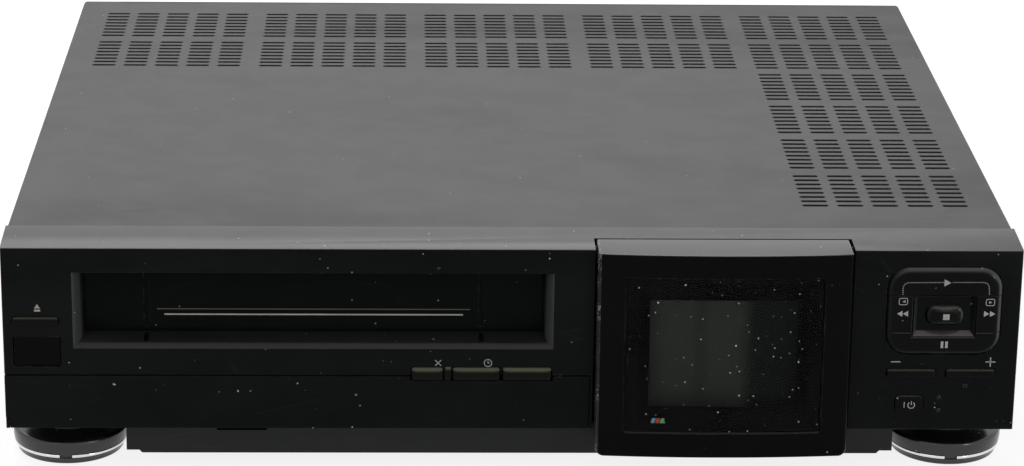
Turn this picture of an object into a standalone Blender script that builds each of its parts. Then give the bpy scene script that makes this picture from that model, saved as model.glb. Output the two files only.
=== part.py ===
# Front-loading video cassette recorder with a small picture screen hinged into its front.
# Lengths are in metres. In the recorder's own frame x runs right from the middle, y runs back
# from the front panel and z runs up from the floor. The empty that carries every piece puts the
# middle of the recorder's depth on the world's origin.
import math

import bpy
import bmesh
from mathutils import Matrix, Vector

# Fits
CLEAR = 0.0003            # gap between pieces that seat on or run in each other
OVERRUN = 0.004           # how far a cutter runs past what it cuts
BITE = 0.0004             # how far joined shapes reach into each other
FINE = 28                 # sides of a large round
MEDIUM = 16               # sides of a middling round
COARSE = 8                # sides of a small round
EVEN_ROUND = 0.5          # bevel profile of a plain round
FULL_ROUND = 0.6          # bevel profile of a fuller edge

# Front panel, across: the widths add up to the recorder's width
LEFT_MARGIN = 0.0302      # left edge to the cassette mouth
MOUTH_WIDTH = 0.2035
MOUTH_TO_NOTCH = 0.0172
NOTCH_WIDTH = 0.1100      # notch that the screen housing closes into
NOTCH_TO_PAD = 0.0145
PAD_WIDTH = 0.0489
RIGHT_MARGIN = 0.0087

# Front panel, upwards: the heights add up to the recorder's height
FOOT_HEIGHT = 0.0210
PAN_SHEET = 0.0015
PAN_TO_BEZEL = 0.0005
DOOR_HEIGHT = 0.0241      # drop-down door below the mouth
DOOR_TO_MOUTH = 0.0126
MOUTH_HEIGHT = 0.0341
TOP_STRIP = 0.0109

# Front panel moulding
BEZEL_DEPTH = 0.0290
BEZEL_WALL = 0.0025
BEZEL_DRAFT = 0.0006      # each side draws in this much towards the front
BEZEL_EDGE = 0.0006
MOUTH_BEVEL = 0.0020      # bright bevel round the mouth's sides and sill
MOUTH_TAPER = 0.0024      # the walls behind the bevel close in by this much
MOUTH_DEPTH = 0.0093      # front panel to the cassette flap
COLLAR_WALL = 0.0015
RIB_INSET = 0.0306        # guide grooves, from the mouth's ends
RIB_WIDTH = 0.0022
RIB_DEPTH = 0.0008
RIB_STOP = 0.0025         # the flap's grooves stop this far above its lower edge
NOTCH_DEPTH = 0.0145
NOTCH_WALL = 0.0025
NUB_WIDTH = 0.0027        # fixed nub between the first two mode buttons
BOSS_RADIUS = 0.0025
FRONT_BOARD_Y = 0.0160

# Cassette flap, hinged along its top and swinging inwards
FLAP_SHEET = 0.0025
FLAP_PIN_RADIUS = 0.0010
FLAP_PIN_REACH = 0.0020
FLAP_PIN_DROP = 0.0011    # pin axis below the flap's upper edge
FLAP_HEADROOM = 0.0012    # pocket above the mouth where the flap turns

# Drop-down door and the tray behind it
DOOR_SHEET = 0.0030
DOOR_GAP = 0.0008         # open groove above the door
DOOR_CHEEK = 0.0022       # width of the cheek that holds the door's left pin
DOOR_CHEEK_HEIGHT = 0.0045
DOOR_END = 0.0012         # panel strip between the door and the screen notch
DOOR_PIN_RADIUS = 0.0007
DOOR_PIN_REACH = 0.0007
DOOR_EDGE = 0.0008
TRAY_DEPTH = 0.0125
TRAY_WALL = 0.0020
TRAY_TOP_DROP = 0.0046    # door's upper edge down to the tray's ceiling
TRAY_FLOOR_RISE = 0.0032
TRAY_SIDE = 0.0080

# Bar-shaped buttons: eject, reset, timer, monitor mode, minus and plus
BUTTON_PROUD = 0.0012
BUTTON_CORNER = 0.0009
BUTTON_EDGE = 0.0005
BUTTON_FLANGE = 0.0010    # thickness of the flange behind the panel
BUTTON_LIP = 0.0006       # the flange is this much wider than the cap
BUTTON_TRAVEL = 0.0008
MODE_HEIGHT = 0.0055
MODE_ABOVE_DOOR = 0.0034  # part of a mode button's height that stands above the door groove
MODE_TO_NOTCH = 0.0178    # monitor mode button to the screen notch
MODE_WIDTHS = (0.0134, 0.0201, 0.0208)
MODE_GAPS = (0.0041, 0.0012)
EJECT_INSET = 0.0049
EJECT_WIDTH = 0.0193
EJECT_HEIGHT = 0.0036
EJECT_DROP = 0.0309       # top of the panel to the button's upper edge
SENSOR_WIDTH = 0.0198
SENSOR_HEIGHT = 0.0132
SENSOR_DROP = 0.0399
SENSOR_SHEET = 0.0022

# Control pad: four keys in a rounded square round a sunk plate with the stop button
PAD_HEIGHT = 0.0394
PAD_DROP = 0.0074
PAD_CORNER = 0.0095
PAD_PROUD = 0.0020
PAD_KEY_DEPTH = 0.0032
PAD_EDGE = 0.0009
PAD_UPPER_SPLIT_SHARE = 0.315   # of the pad's height, from its top
PAD_LOWER_SPLIT_SHARE = 0.733
WELL_WIDTH = 0.0269
WELL_LOW_SHARE = 0.787
WELL_FLOOR = 0.0006
FRAME_RIM = 0.0030
FRAME_DEPTH = 0.0061
FRAME_SHEET = 0.0015
STOP_WIDTH = 0.0154
STOP_HEIGHT = 0.0088
STOP_PROUD = 0.0014
LEVEL_WIDTH = 0.0211      # minus and plus bars
LEVEL_HEIGHT = 0.0037
LEVEL_GAP = 0.0043
LEVEL_DROP = 0.05365
POWER_WIDTH = 0.0123
POWER_HEIGHT = 0.0075
POWER_DROP = 0.0659
POWER_INSET = 0.0054      # pad's left edge to the power button
POWER_CORNER = 0.0022
LED_RADIUS = 0.0012
LED_PROUD = 0.0004
LED_LENGTH = 0.0060
LED_INSET = 0.0243        # pad's left edge to the lamps
LED_DROPS = (0.0666, 0.0726)

# Screen housing
SCREEN_GAP = 0.0010       # housing to the notch on each side
SCREEN_HEIGHT = 0.0906
SCREEN_BACK = 0.0133
SCREEN_FOOT_BACK = 0.0110 # the housing is thinner where it passes the bottom pan
SCREEN_SIDE_PROUD = 0.0055
SCREEN_BULGE = 0.0025     # the face bows forward by this much in plan
SCREEN_LEAN = 0.0030      # the face leans forward by this much at its foot
SCREEN_CORNER = 0.0035
SCREEN_EDGE = 0.0010
SCREEN_WALL = 0.0025
SCREEN_COLUMNS = 8
WINDOW_DROP = 0.0104
WINDOW_RISE = 0.0113      # housing's lower edge to the window
WINDOW_INSET = 0.0120     # housing's sides to the window
WINDOW_SUNK = 0.0003
WINDOW_SHEET = 0.0018
LCD_INSET = 0.0050        # window's sides to the display
LCD_DROP = 0.0036         # window's upper edge to the display
LCD_RISE = 0.0073         # window's lower edge to the display
LCD_FRONT = -0.0010
SCREEN_COVER = 0.0020     # plate that closes the housing's back
SCREEN_PIN_RADIUS = 0.0015
SCREEN_PIN_OUT = 0.0021
SCREEN_PIN_Y = 0.0095
SCREEN_PIN_DROP = 0.0030

# Bottom pan and feet
DEPTH = 0.3930            # front panel to the back of the cover
PAN_FRONT = 0.0120
PAN_BOTTOM = 0.0072
TUB_STEP = 0.0013         # the tub's middle is pressed down by this much
TUB_STEP_WIDTH = 0.0050
SHELF_WIDTH = 0.0513      # from the recorder's side to the tub's side
PAN_FLANGE = 0.0170
PAN_NOTCH_INSET = 0.0383  # tub's side to the slot in its front wall
PAN_NOTCH_WIDTH = 0.0215
PAN_NOTCH_DEPTH = 0.0050
FOOT_INSET = 0.0240
FOOT_FRONT = 0.0390
FOOT_REAR = 0.0400
FOOT_RADIUS = 0.0249
FOOT_NECK_SHARE = 0.60
RING_RADIUS = 0.0245
RING_SHEET = 0.0010
RING_HEIGHT = 0.0014
RING_RISE = 0.0033
RING_OPENING = 0.0055
FOOT_RIM = 0.0110

# Top cover
COVER_SHEET = 0.0010
COVER_SET_IN = 0.0003     # the panel stands proud of the cover by this much
COVER_SEAM = 0.0003
COVER_BEND = 0.0020
COVER_LIP = 0.0120
COVER_LIP_INSET = 0.0060
VENT_INSET = 0.0150
VENT_BACK = 0.0225
VENT_GROUPS = 5
VENT_COLUMNS = 5
VENT_SLOT = 0.0116
VENT_COLUMN_PITCH = 0.0154
VENT_BLOCK = 0.0440
VENT_BLOCK_GAP = 0.0095
VENT_SLOTS = 4            # slots in one block
VENT_OPEN_SHARE = 0.475   # slot width over slot pitch
VENT_ROWS = (2, 2, 2, 2, 6)

# Rear panel and sockets
REAR_SHEET = 0.0013
REAR_INSET = 0.0013       # cover's back to the panel's outer face
REAR_SIDE = 0.0024
SOCKET_PROUD = 0.0070
SOCKET_RADIUS = 0.0048
SOCKET_BORE = 0.0036
TUNER_SIZE = (0.0620, 0.0420, 0.0240)
TUNER_INSET = 0.0315
TUNER_DROP = 0.0200
TUNER_SOCKET_SHARE = 0.25
SCART_SIZE = (0.0470, 0.0200, 0.0160)
SCART_INSET = 0.1615
SCART_SLOT = 0.0060
SCART_RIM = 0.0020
INLET_SIZE = (0.0240, 0.0220, 0.0170)
INLET_INSET = 0.0315
INLET_SLOT = 0.0070
SCREW_RADIUS = 0.0036
SCREW_HEAD = 0.0016
SCREW_SHANK = 0.0013
SCREW_INSET = 0.0265
SCREW_DROP = 0.0062

# Deck and cassette mechanism
BASKET_INNER = 0.0950     # half of the clear width for a cassette
BASKET_SHEET = 0.0012
MECH_GAP = 0.0004
BASKET_FRONT = 0.0420
BASKET_LENGTH = 0.0700
BASKET_LEDGE = 0.0100
BASKET_INNER_HEIGHT = 0.0257
BASKET_RISE = 0.0015      # cassette floor above the mouth's sill
BASKET_TRAVEL_IN = 0.0600
BASKET_TRAVEL_DOWN = 0.0200
BASKET_CUTOUT = 0.0300
PIN_RADIUS = 0.0015
SLIDER_SHEET = 0.0012
SLIDER_BAR = 0.0035
GUIDE_SHEET = 0.0015
GUIDE_FOOT = 0.0080
DECK_HEIGHT = 0.0380
DECK_SHEET = 0.0015
DECK_FRONT = 0.0480
DECK_MARGIN = 0.0055      # loading motor to the deck's rear edge
DECK_OVERLAP = 0.0040
DECK_LEG_RADIUS = 0.0035
REEL_SPACING = 0.0900
REEL_BEHIND = 0.0110      # reel axes behind the middle of the loaded basket
REEL_RADIUS = 0.0175
REEL_FLANGE = 0.0040
REEL_HUB = 0.0060
REEL_HEIGHT = 0.0170
REEL_PIN = 0.0012
DRUM_RADIUS = 0.0310
DRUM_BEHIND = 0.0430      # drum axis behind the loaded basket
DRUM_LOWER = 0.0190
DRUM_UPPER = 0.0170
DRUM_SPLIT = 0.0004
DRUM_SHAFT = 0.0030
DRUM_SEAT = 0.0050
DRUM_TILT_DEGREES = 5.0
CAPSTAN_X = 0.0660
CAPSTAN_Y = 0.0200        # capstan axis behind the loaded basket
CAPSTAN_RADIUS = 0.0020
CAPSTAN_TOP = 0.0340      # above the deck
FLYWHEEL_RADIUS = 0.0240
FLYWHEEL_SHEET = 0.0050
FLYWHEEL_DROP = 0.0030
BUSH_RADIUS = 0.0055
BUSH_HEIGHT = 0.0100
PINCH_X = 0.0900
PINCH_Y = 0.0300          # arm's pivot behind the loaded basket
PINCH_ARM = 0.0200
PINCH_ARM_DEGREES = 250.0 # direction of the parked arm, from +x
PINCH_ROLLER = 0.0072
PINCH_SHEET = 0.0020
PINCH_WIDTH = 0.0070
ROLLER_LOW = 0.0120
ROLLER_HEIGHT = 0.0160
POST_START = (0.0270, 0.0080)   # loading post when parked, from the mechanism's middle
POST_END = (0.0450, 0.0620)     # and when wrapped round the drum
POST_SIZE = (0.0110, 0.0140, 0.0050)
POST_RADIUS = 0.0030
POST_HEIGHT = 0.0320
POST_SLOT = 0.0040
POST_TONGUE = 0.0012
HEAD_SIZE = (0.0140, 0.0100, 0.0260)
HEAD_X = 0.0620
HEAD_Y = 0.0460
ERASE_X = -0.0640
ERASE_Y = 0.0300
MOTOR_RADIUS = 0.0115
MOTOR_LENGTH = 0.0320
MOTOR_X = -0.0750
MOTOR_Y = 0.0760
MOTOR_STAND = 0.0030

# Boards, transformer and loudspeaker
BOARD_SHEET = 0.0016
BOARD_POST = 0.0072
BOARD_POST_RADIUS = 0.0030
BOARD_TO_TUB = 0.01605    # main board to the tub's right side
BOARD_TO_BOBBIN = 0.0390
BOARD_GAP = 0.0200        # deck's right side to the main board
BOARD_FRONT = 0.0600
CORE_SIZE = (0.0600, 0.0240, 0.0500)
BOBBIN_SIZE = (0.0340, 0.0480, 0.0340)
CORE_INSET = 0.1165
CORE_BACK = 0.0700
SPEAKER_SIZE = (0.0400, 0.0660)
SPEAKER_HEIGHT = 0.0300
SPEAKER_RIM = 0.0015
SPEAKER_MAGNET = 0.0150
SPEAKER_MAGNET_HEIGHT = 0.0120
SPEAKER_FRONT = 0.0700

# Places that follow from the sizes above
WIDTH = (LEFT_MARGIN + MOUTH_WIDTH + MOUTH_TO_NOTCH + NOTCH_WIDTH + NOTCH_TO_PAD
         + PAD_WIDTH + RIGHT_MARGIN)
SIDE = WIDTH / 2
MOUTH_X = (-SIDE + LEFT_MARGIN, -SIDE + LEFT_MARGIN + MOUTH_WIDTH)
NOTCH_X = (MOUTH_X[1] + MOUTH_TO_NOTCH, MOUTH_X[1] + MOUTH_TO_NOTCH + NOTCH_WIDTH)
PAD_X = (NOTCH_X[1] + NOTCH_TO_PAD, NOTCH_X[1] + NOTCH_TO_PAD + PAD_WIDTH)
SHELF_Z = FOOT_HEIGHT + CLEAR
SHELF_TOP = SHELF_Z + PAN_SHEET
BEZEL_Z = SHELF_TOP + PAN_TO_BEZEL
DOOR_TOP = BEZEL_Z + DOOR_HEIGHT
MOUTH_Z = (DOOR_TOP + DOOR_TO_MOUTH, DOOR_TOP + DOOR_TO_MOUTH + MOUTH_HEIGHT)
TOP = MOUTH_Z[1] + TOP_STRIP
FLAP_X = (MOUTH_X[0] + MOUTH_BEVEL + MOUTH_TAPER, MOUTH_X[1] - MOUTH_BEVEL - MOUTH_TAPER)
FLAP_Z = (MOUTH_Z[0] + MOUTH_BEVEL + MOUTH_TAPER, MOUTH_Z[1])
MECH_X = (MOUTH_X[0] + MOUTH_X[1]) / 2
LOADED_BACK = BASKET_FRONT + BASKET_LENGTH + BASKET_TRAVEL_IN
DECK_TOP = DECK_HEIGHT + DECK_SHEET
TUB_X = SIDE - SHELF_WIDTH
TUB_FLOOR = PAN_BOTTOM + PAN_SHEET
SCREEN_X = (NOTCH_X[0] + SCREEN_GAP, NOTCH_X[1] - SCREEN_GAP)
SCREEN_Z = (TOP - SCREEN_HEIGHT, TOP)
SCREEN_PIN_Z = TOP - SCREEN_PIN_DROP
REAR_FACE = DEPTH - REAR_INSET
MIDDLE = (REAR_FACE + SOCKET_PROUD - SCREEN_SIDE_PROUD - SCREEN_BULGE - SCREEN_LEAN) / 2

COLOURS = {
    "moulding_black": ((0.012, 0.012, 0.013), 0.38, 0.0),
    "cover_grey": ((0.055, 0.058, 0.058), 0.42, 0.6),
    "pan_grey": ((0.035, 0.036, 0.036), 0.50, 0.4),
    "gloss_black": ((0.005, 0.005, 0.006), 0.10, 0.0),
    "key_black": ((0.016, 0.017, 0.016), 0.30, 0.0),
    "chrome": ((0.75, 0.75, 0.76), 0.12, 1.0),
    "steel": ((0.55, 0.55, 0.56), 0.35, 1.0),
    "zinc": ((0.48, 0.49, 0.48), 0.45, 0.9),
    "aluminium": ((0.68, 0.68, 0.69), 0.22, 1.0),
    "board_green": ((0.03, 0.12, 0.06), 0.55, 0.0),
    "copper": ((0.45, 0.20, 0.08), 0.45, 0.8),
    "rubber": ((0.02, 0.02, 0.02), 0.80, 0.0),
    "lcd_grey": ((0.045, 0.048, 0.046), 0.25, 0.0),
    "lamp_red": ((0.10, 0.01, 0.01), 0.25, 0.0),
    "white_plastic": ((0.60, 0.60, 0.57), 0.50, 0.0),
}


def clear_scene():
    for item in list(bpy.data.objects):
        bpy.data.objects.remove(item, do_unlink=True)


def new_collection(name):
    collection = bpy.data.collections.new(name)
    bpy.context.scene.collection.children.link(collection)
    return collection


def material(name):
    found = bpy.data.materials.get(name)
    if found:
        return found
    colour, roughness, metallic = COLOURS[name]
    made = bpy.data.materials.new(name)
    made.use_nodes = True
    shader = made.node_tree.nodes["Principled BSDF"]
    shader.inputs["Base Color"].default_value = (*colour, 1)
    shader.inputs["Roughness"].default_value = roughness
    shader.inputs["Metallic"].default_value = metallic
    return made


clear_scene()
PARTS = new_collection("cassette_recorder")
CUTTERS = new_collection("cutters")


def empty(name, place, parent=None):
    made = bpy.data.objects.new(name, None)
    PARTS.objects.link(made)
    made.location = place
    made.parent = parent
    return made


FRAME = empty("recorder_frame", (0, -MIDDLE, 0))


def make_part(name, bm, finish, pivot=(0, 0, 0), parent=FRAME):
    """Turns the shapes in bm into a sub-part whose origin is the pivot."""
    mesh = bpy.data.meshes.new(name)
    bm.to_mesh(mesh)
    bm.free()
    mesh.transform(Matrix.Translation(-Vector(pivot)))
    mesh.materials.append(material(finish))
    made = bpy.data.objects.new(name, mesh)
    PARTS.objects.link(made)
    made.parent = parent
    made.location = pivot
    return made


def make_cutter(name, bm, parent=FRAME):
    mesh = bpy.data.meshes.new(name)
    bm.to_mesh(mesh)
    bm.free()
    made = bpy.data.objects.new(name, mesh)
    CUTTERS.objects.link(made)
    made.parent = parent
    made.hide_render = True
    made.display_type = "WIRE"
    return made


def combine(part, bm, operation, label, parent=FRAME):
    """Cuts the shapes in bm from the part, joins them to it or keeps what both share."""
    modifier = part.modifiers.new(label, "BOOLEAN")
    modifier.operation = operation
    modifier.solver = "EXACT"
    modifier.object = make_cutter(part.name + "_" + label, bm, parent)


def cut(part, bm, label):
    combine(part, bm, "DIFFERENCE", label)


def join(part, bm, label):
    combine(part, bm, "UNION", label)


def shape(*builders):
    """Collects the shapes that the builders add into one bmesh."""
    bm = bmesh.new()
    for builder in builders:
        builder(bm)
    return bm


def box(x, y, z):
    """A block between two x, two y and two z values."""
    def build(bm):
        low = Vector((x[0], y[0], z[0]))
        high = Vector((x[1], y[1], z[1]))
        matrix = Matrix.Translation((low + high) / 2) @ Matrix.Diagonal((*(high - low), 1))
        return bmesh.ops.create_cube(bm, size=1, matrix=matrix)["verts"]
    return build


def rod(centre, axis, radius, span, sides=COARSE):
    """A cylinder through centre that runs along an axis over the span."""
    def build(bm):
        place = Vector(centre)
        index = "XYZ".index(axis)
        place[index] = (span[0] + span[1]) / 2
        turn = {"X": Matrix.Rotation(math.pi / 2, 4, "Y"),
                "Y": Matrix.Rotation(-math.pi / 2, 4, "X"),
                "Z": Matrix.Identity(4)}[axis]
        return bmesh.ops.create_cone(bm, cap_ends=True, segments=sides, radius1=radius,
                                     radius2=radius, depth=span[1] - span[0],
                                     matrix=Matrix.Translation(place) @ turn)["verts"]
    return build


def long_edges(verts, axis):
    """Edges of a block that run along the axis."""
    index = "XYZ".index(axis)
    edges = {edge for vert in verts for edge in vert.link_edges}
    return [edge for edge in edges
            if abs((edge.verts[0].co - edge.verts[1].co).normalized()[index]) > 0.99]


def rounded_box(x, y, z, axis, radius, segments=4, edge=0, end="low"):
    """A block whose edges along the axis are round; edge also softens one of its ends."""
    def build(bm):
        part = bmesh.new()
        verts = box(x, y, z)(part)
        bmesh.ops.bevel(part, geom=long_edges(verts, axis), offset=radius, segments=segments,
                        profile=EVEN_ROUND, affect="EDGES")
        if edge:
            index = "XYZ".index(axis)
            level = (x, y, z)[index][0 if end == "low" else 1]
            rim = [e for e in part.edges if all(abs(v.co[index] - level) < CLEAR / 10 for v in e.verts)]
            bmesh.ops.bevel(part, geom=rim, offset=edge, segments=2, profile=FULL_ROUND, affect="EDGES")
        copy = bpy.data.meshes.new("scratch")
        part.to_mesh(copy)
        part.free()
        bm.from_mesh(copy)
        bpy.data.meshes.remove(copy)
    return build


def loft(sections):
    """A closed block through rectangles given as (y, x range, z range), front to back."""
    def build(bm):
        rings = []
        for y, x, z in sections:
            corners = ((x[0], z[0]), (x[1], z[0]), (x[1], z[1]), (x[0], z[1]))
            rings.append([bm.verts.new((cx, y, cz)) for cx, cz in corners])
        for near, far in zip(rings, rings[1:]):
            for i in range(4):
                j = (i + 1) % 4
                bm.faces.new((near[i], far[i], far[j], near[j]))
        bm.faces.new(rings[0])
        bm.faces.new(list(reversed(rings[-1])))
    return build


def turned(name, profile, finish, place, parent=FRAME, sides=FINE, closed=False):
    """A turned piece: the profile's (radius, height) points swept round the upright axis."""
    mesh = bpy.data.meshes.new(name)
    points = [(radius, 0, height) for radius, height in profile]
    edges = [(i, i + 1) for i in range(len(points) - 1)]
    if closed:
        edges.append((len(points) - 1, 0))
    mesh.from_pydata(points, edges, [])
    mesh.materials.append(material(finish))
    made = bpy.data.objects.new(name, mesh)
    PARTS.objects.link(made)
    made.parent = parent
    made.location = place
    screw = made.modifiers.new("turn", "SCREW")
    screw.axis = "Z"
    screw.angle = math.tau
    screw.steps = sides
    screw.render_steps = sides
    screw.use_merge_vertices = True
    screw.merge_threshold = 0.00001
    screw.use_smooth_shade = True
    return made


def sheet(name, bm, finish, thickness, offset):
    """A bent sheet: the open surface in bm given its thickness."""
    made = make_part(name, bm, finish)
    solid = made.modifiers.new("thickness", "SOLIDIFY")
    solid.thickness = thickness
    solid.offset = offset
    solid.use_even_offset = True
    return made


def strip(bm, outline, y):
    """A surface that carries an outline of (x, z) points from one y to another."""
    near = [bm.verts.new((x, y[0], z)) for x, z in outline]
    far = [bm.verts.new((x, y[1], z)) for x, z in outline]
    for i in range(len(outline) - 1):
        bm.faces.new((near[i], near[i + 1], far[i + 1], far[i]))
    return near, far


# Casing

def build_pan():
    """Pressed bottom pan: a tub between two shelves, with upright flanges at the sides."""
    half = PAN_SHEET / 2
    flange = SIDE - COVER_SET_IN - COVER_SHEET - MECH_GAP - half
    low, step, shelf = PAN_BOTTOM + half, PAN_BOTTOM + TUB_STEP + half, SHELF_Z + half
    strip_x = TUB_X - TUB_STEP_WIDTH
    tub = [(TUB_X, shelf), (TUB_X, step), (strip_x, step), (strip_x - TUB_STEP, low)]
    right = [(flange, SHELF_TOP + PAN_FLANGE), (flange, shelf)] + tub
    outline = right + [(-x, z) for x, z in reversed(right)]
    bm = bmesh.new()
    near, far = strip(bm, outline, (PAN_FRONT + half, REAR_FACE - REAR_SHEET))
    count = len(tub)
    bm.faces.new(list(reversed(near[2:2 + 2 * count])))
    bm.faces.new(far[2:2 + 2 * count])
    pan = sheet("bottom_pan", bm, "pan_grey", PAN_SHEET, 0)
    inner = flange - half - BITE
    outer = flange + half + OVERRUN
    front = (0, BEZEL_DEPTH + COVER_SEAM)
    height = (SHELF_Z - OVERRUN, SHELF_TOP + PAN_FLANGE + OVERRUN)
    cut(pan, shape(*[box(x, front, height) for x in ((inner, outer), (-outer, -inner))]), "flange_fronts")
    left = -TUB_X + PAN_NOTCH_INSET
    cut(pan, shape(box((left, left + PAN_NOTCH_WIDTH), (PAN_FRONT - OVERRUN, PAN_FRONT + OVERRUN),
                       (SHELF_TOP - PAN_NOTCH_DEPTH, SHELF_TOP + OVERRUN))), "front_slot")
    posts = [rod((x, y, 0), "Z", BOARD_POST_RADIUS, (TUB_FLOOR - BITE, TUB_FLOOR + BOARD_POST))
             for x, y in board_posts()]
    join(pan, shape(*posts), "board_posts")
    return pan


def board_x():
    """Left and right edges of the main board."""
    low = MECH_X + deck_half() + BOARD_GAP
    return (low, TUB_X - BOARD_TO_TUB)


def board_y():
    """The main board runs back towards the transformer."""
    return (BOARD_FRONT, DEPTH - CORE_BACK - BOBBIN_SIZE[1] / 2 - BOARD_TO_BOBBIN)


def board_posts():
    low, high = board_x()
    inset = 3 * BOARD_POST_RADIUS
    return [(x, y) for x in (low + inset, high - inset)
            for y in grown(board_y(), -inset)]


def build_foot(name, x, y):
    """A stepped round foot; the groove near its base takes the bright ring."""
    groove_low, groove_high = RING_RISE - CLEAR, RING_RISE + RING_HEIGHT + CLEAR
    groove = RING_RADIUS - RING_SHEET - CLEAR
    neck = FOOT_RADIUS * FOOT_NECK_SHARE
    profile = [(0, FOOT_HEIGHT), (neck, FOOT_HEIGHT), (neck, FOOT_RIM + RING_HEIGHT),
               (FOOT_RADIUS - RING_HEIGHT, FOOT_RIM), (FOOT_RADIUS - RING_SHEET / 2, FOOT_RIM - RING_SHEET),
               (FOOT_RADIUS, (FOOT_RIM + groove_high) / 2),
               (FOOT_RADIUS - RING_SHEET / 2, groove_high), (groove, groove_high),
               (groove, groove_low), (RING_RADIUS - RING_SHEET / 2, groove_low),
               (RING_RADIUS - 2 * RING_HEIGHT, 0), (0, 0)]
    turned(name, profile, "key_black", (x, y, 0), sides=MEDIUM)


def build_ring(name, x, y):
    """The bright ring is open for a short stretch that faces the front."""
    low, high = RING_RISE, RING_RISE + RING_HEIGHT
    inner = RING_RADIUS - RING_SHEET
    profile = [(inner, high), (RING_RADIUS, high), (RING_RADIUS, low), (inner, low)]
    ring = turned(name, profile, "chrome", (x, y, 0), sides=MEDIUM, closed=True)
    half = RING_OPENING / 2
    cut(ring, shape(box((x - half, x + half), (y - RING_RADIUS - OVERRUN, y - inner / 2),
                        (low - OVERRUN, high + OVERRUN))), "opening")


def build_feet():
    x = SIDE - FOOT_INSET
    for side, word in ((-1, "left"), (1, "right")):
        build_foot("foot_front_" + word, side * x, FOOT_FRONT)
        build_foot("foot_rear_" + word, side * x, DEPTH - FOOT_REAR)
        build_ring("foot_ring_" + word, side * x, FOOT_FRONT)


def vent_slots():
    """Every slot of the vent field, as (x, y) of its left front corner, and the slot's width."""
    group = (VENT_COLUMNS - 1) * VENT_COLUMN_PITCH + VENT_SLOT
    group_pitch = (WIDTH - 2 * VENT_INSET - group) / (VENT_GROUPS - 1)
    pitch = VENT_BLOCK / (VENT_SLOTS - 1 + VENT_OPEN_SHARE)
    width = pitch * VENT_OPEN_SHARE
    places = []
    for k, rows in enumerate(VENT_ROWS):
        for row in range(rows):
            back = DEPTH - VENT_BACK - row * (VENT_BLOCK + VENT_BLOCK_GAP)
            for column in range(VENT_COLUMNS):
                x = -SIDE + VENT_INSET + k * group_pitch + column * VENT_COLUMN_PITCH
                for slot in range(VENT_SLOTS):
                    places.append((x, back - slot * pitch - width))
    return places, width


def build_cover():
    """Bent steel cover: two sides and a top with five groups of pressed vent slots."""
    half = COVER_SHEET / 2
    side = SIDE - COVER_SET_IN - half
    roof = TOP - CLEAR - half
    arc = [(side - COVER_BEND * (1 - math.cos(a)), roof - COVER_BEND * (1 - math.sin(a)))
           for a in (0, math.pi / 6, math.pi / 3, math.pi / 2)]
    right = [(side, BEZEL_Z + half)] + arc
    outline = right + [(-x, z) for x, z in reversed(right)]
    bm = bmesh.new()
    back = DEPTH - half
    strip(bm, outline, (BEZEL_DEPTH + COVER_SEAM, back + half))
    cover = sheet("top_cover", bm, "cover_grey", COVER_SHEET, 0)
    lip = shape(box(grown((0, 0), side - COVER_BEND), grown((back, back), half), (roof - COVER_LIP, roof + half)))
    for vert in lip.verts:
        if vert.co.z < roof:
            vert.co.x -= math.copysign(COVER_LIP_INSET, vert.co.x)
    join(cover, lip, "rear_lip")
    places, width = vent_slots()
    slots = [box((x, x + VENT_SLOT), (y, y + width), (roof - OVERRUN, roof + OVERRUN)) for x, y in places]
    cut(cover, shape(*slots), "vents")
    holes = [rod((x, 0, TOP - SCREW_DROP), "Y", SCREW_SHANK + CLEAR, (back - OVERRUN, back + OVERRUN))
             for x in screw_x()]
    cut(cover, shape(*holes), "screw_holes")


def screw_x():
    return (-SIDE + SCREW_INSET, SIDE - SCREW_INSET)


def build_screws():
    """Pan-head screws that hold the cover's rear lip to the rear panel."""
    for x, word in zip(screw_x(), ("left", "right")):
        z = TOP - SCREW_DROP
        head = DEPTH + CLEAR
        bm = shape(rod((x, 0, z), "Y", SCREW_RADIUS, (head, head + SCREW_HEAD)))
        screw = make_part("cover_screw_" + word, bm, "steel")
        join(screw, shape(rod((x, 0, z), "Y", SCREW_SHANK, (REAR_FACE - 2 * REAR_SHEET, head + BITE))),
             "shank")


# Front panel

def button_x(start, width):
    return (start, start + width)


def mode_ranges():
    """Left and right ends of the reset, timer and monitor mode buttons."""
    ranges = []
    x = NOTCH_X[0] - MODE_TO_NOTCH - sum(MODE_WIDTHS) - sum(MODE_GAPS)
    for width, gap in zip(MODE_WIDTHS, MODE_GAPS + (0,)):
        ranges.append((x, x + width))
        x += width + gap
    return ranges


def mode_z():
    high = DOOR_TOP + DOOR_GAP + MODE_ABOVE_DOOR
    return (high - MODE_HEIGHT, high)


def nub_x():
    """The fixed nub fills the middle of the gap between the first two mode buttons."""
    first, second = mode_ranges()[:2]
    middle = (first[1] + second[0]) / 2
    return (middle - NUB_WIDTH / 2, middle + NUB_WIDTH / 2)


def eject_box():
    low = -SIDE + EJECT_INSET
    return (low, low + EJECT_WIDTH), (TOP - EJECT_DROP - EJECT_HEIGHT, TOP - EJECT_DROP)


def sensor_box():
    low = -SIDE + EJECT_INSET
    return (low, low + SENSOR_WIDTH), (TOP - SENSOR_DROP - SENSOR_HEIGHT, TOP - SENSOR_DROP)


def level_boxes():
    """Minus and plus bars, centred under the pad."""
    middle = (PAD_X[0] + PAD_X[1]) / 2
    z = (TOP - LEVEL_DROP - LEVEL_HEIGHT, TOP - LEVEL_DROP)
    near, far = LEVEL_GAP / 2, LEVEL_GAP / 2 + LEVEL_WIDTH
    return ((middle - far, middle - near), z), ((middle + near, middle + far), z)


def power_box():
    low = PAD_X[0] + POWER_INSET
    return (low, low + POWER_WIDTH), (TOP - POWER_DROP - POWER_HEIGHT, TOP - POWER_DROP)


def pad_z():
    return (TOP - PAD_DROP - PAD_HEIGHT, TOP - PAD_DROP)


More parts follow.
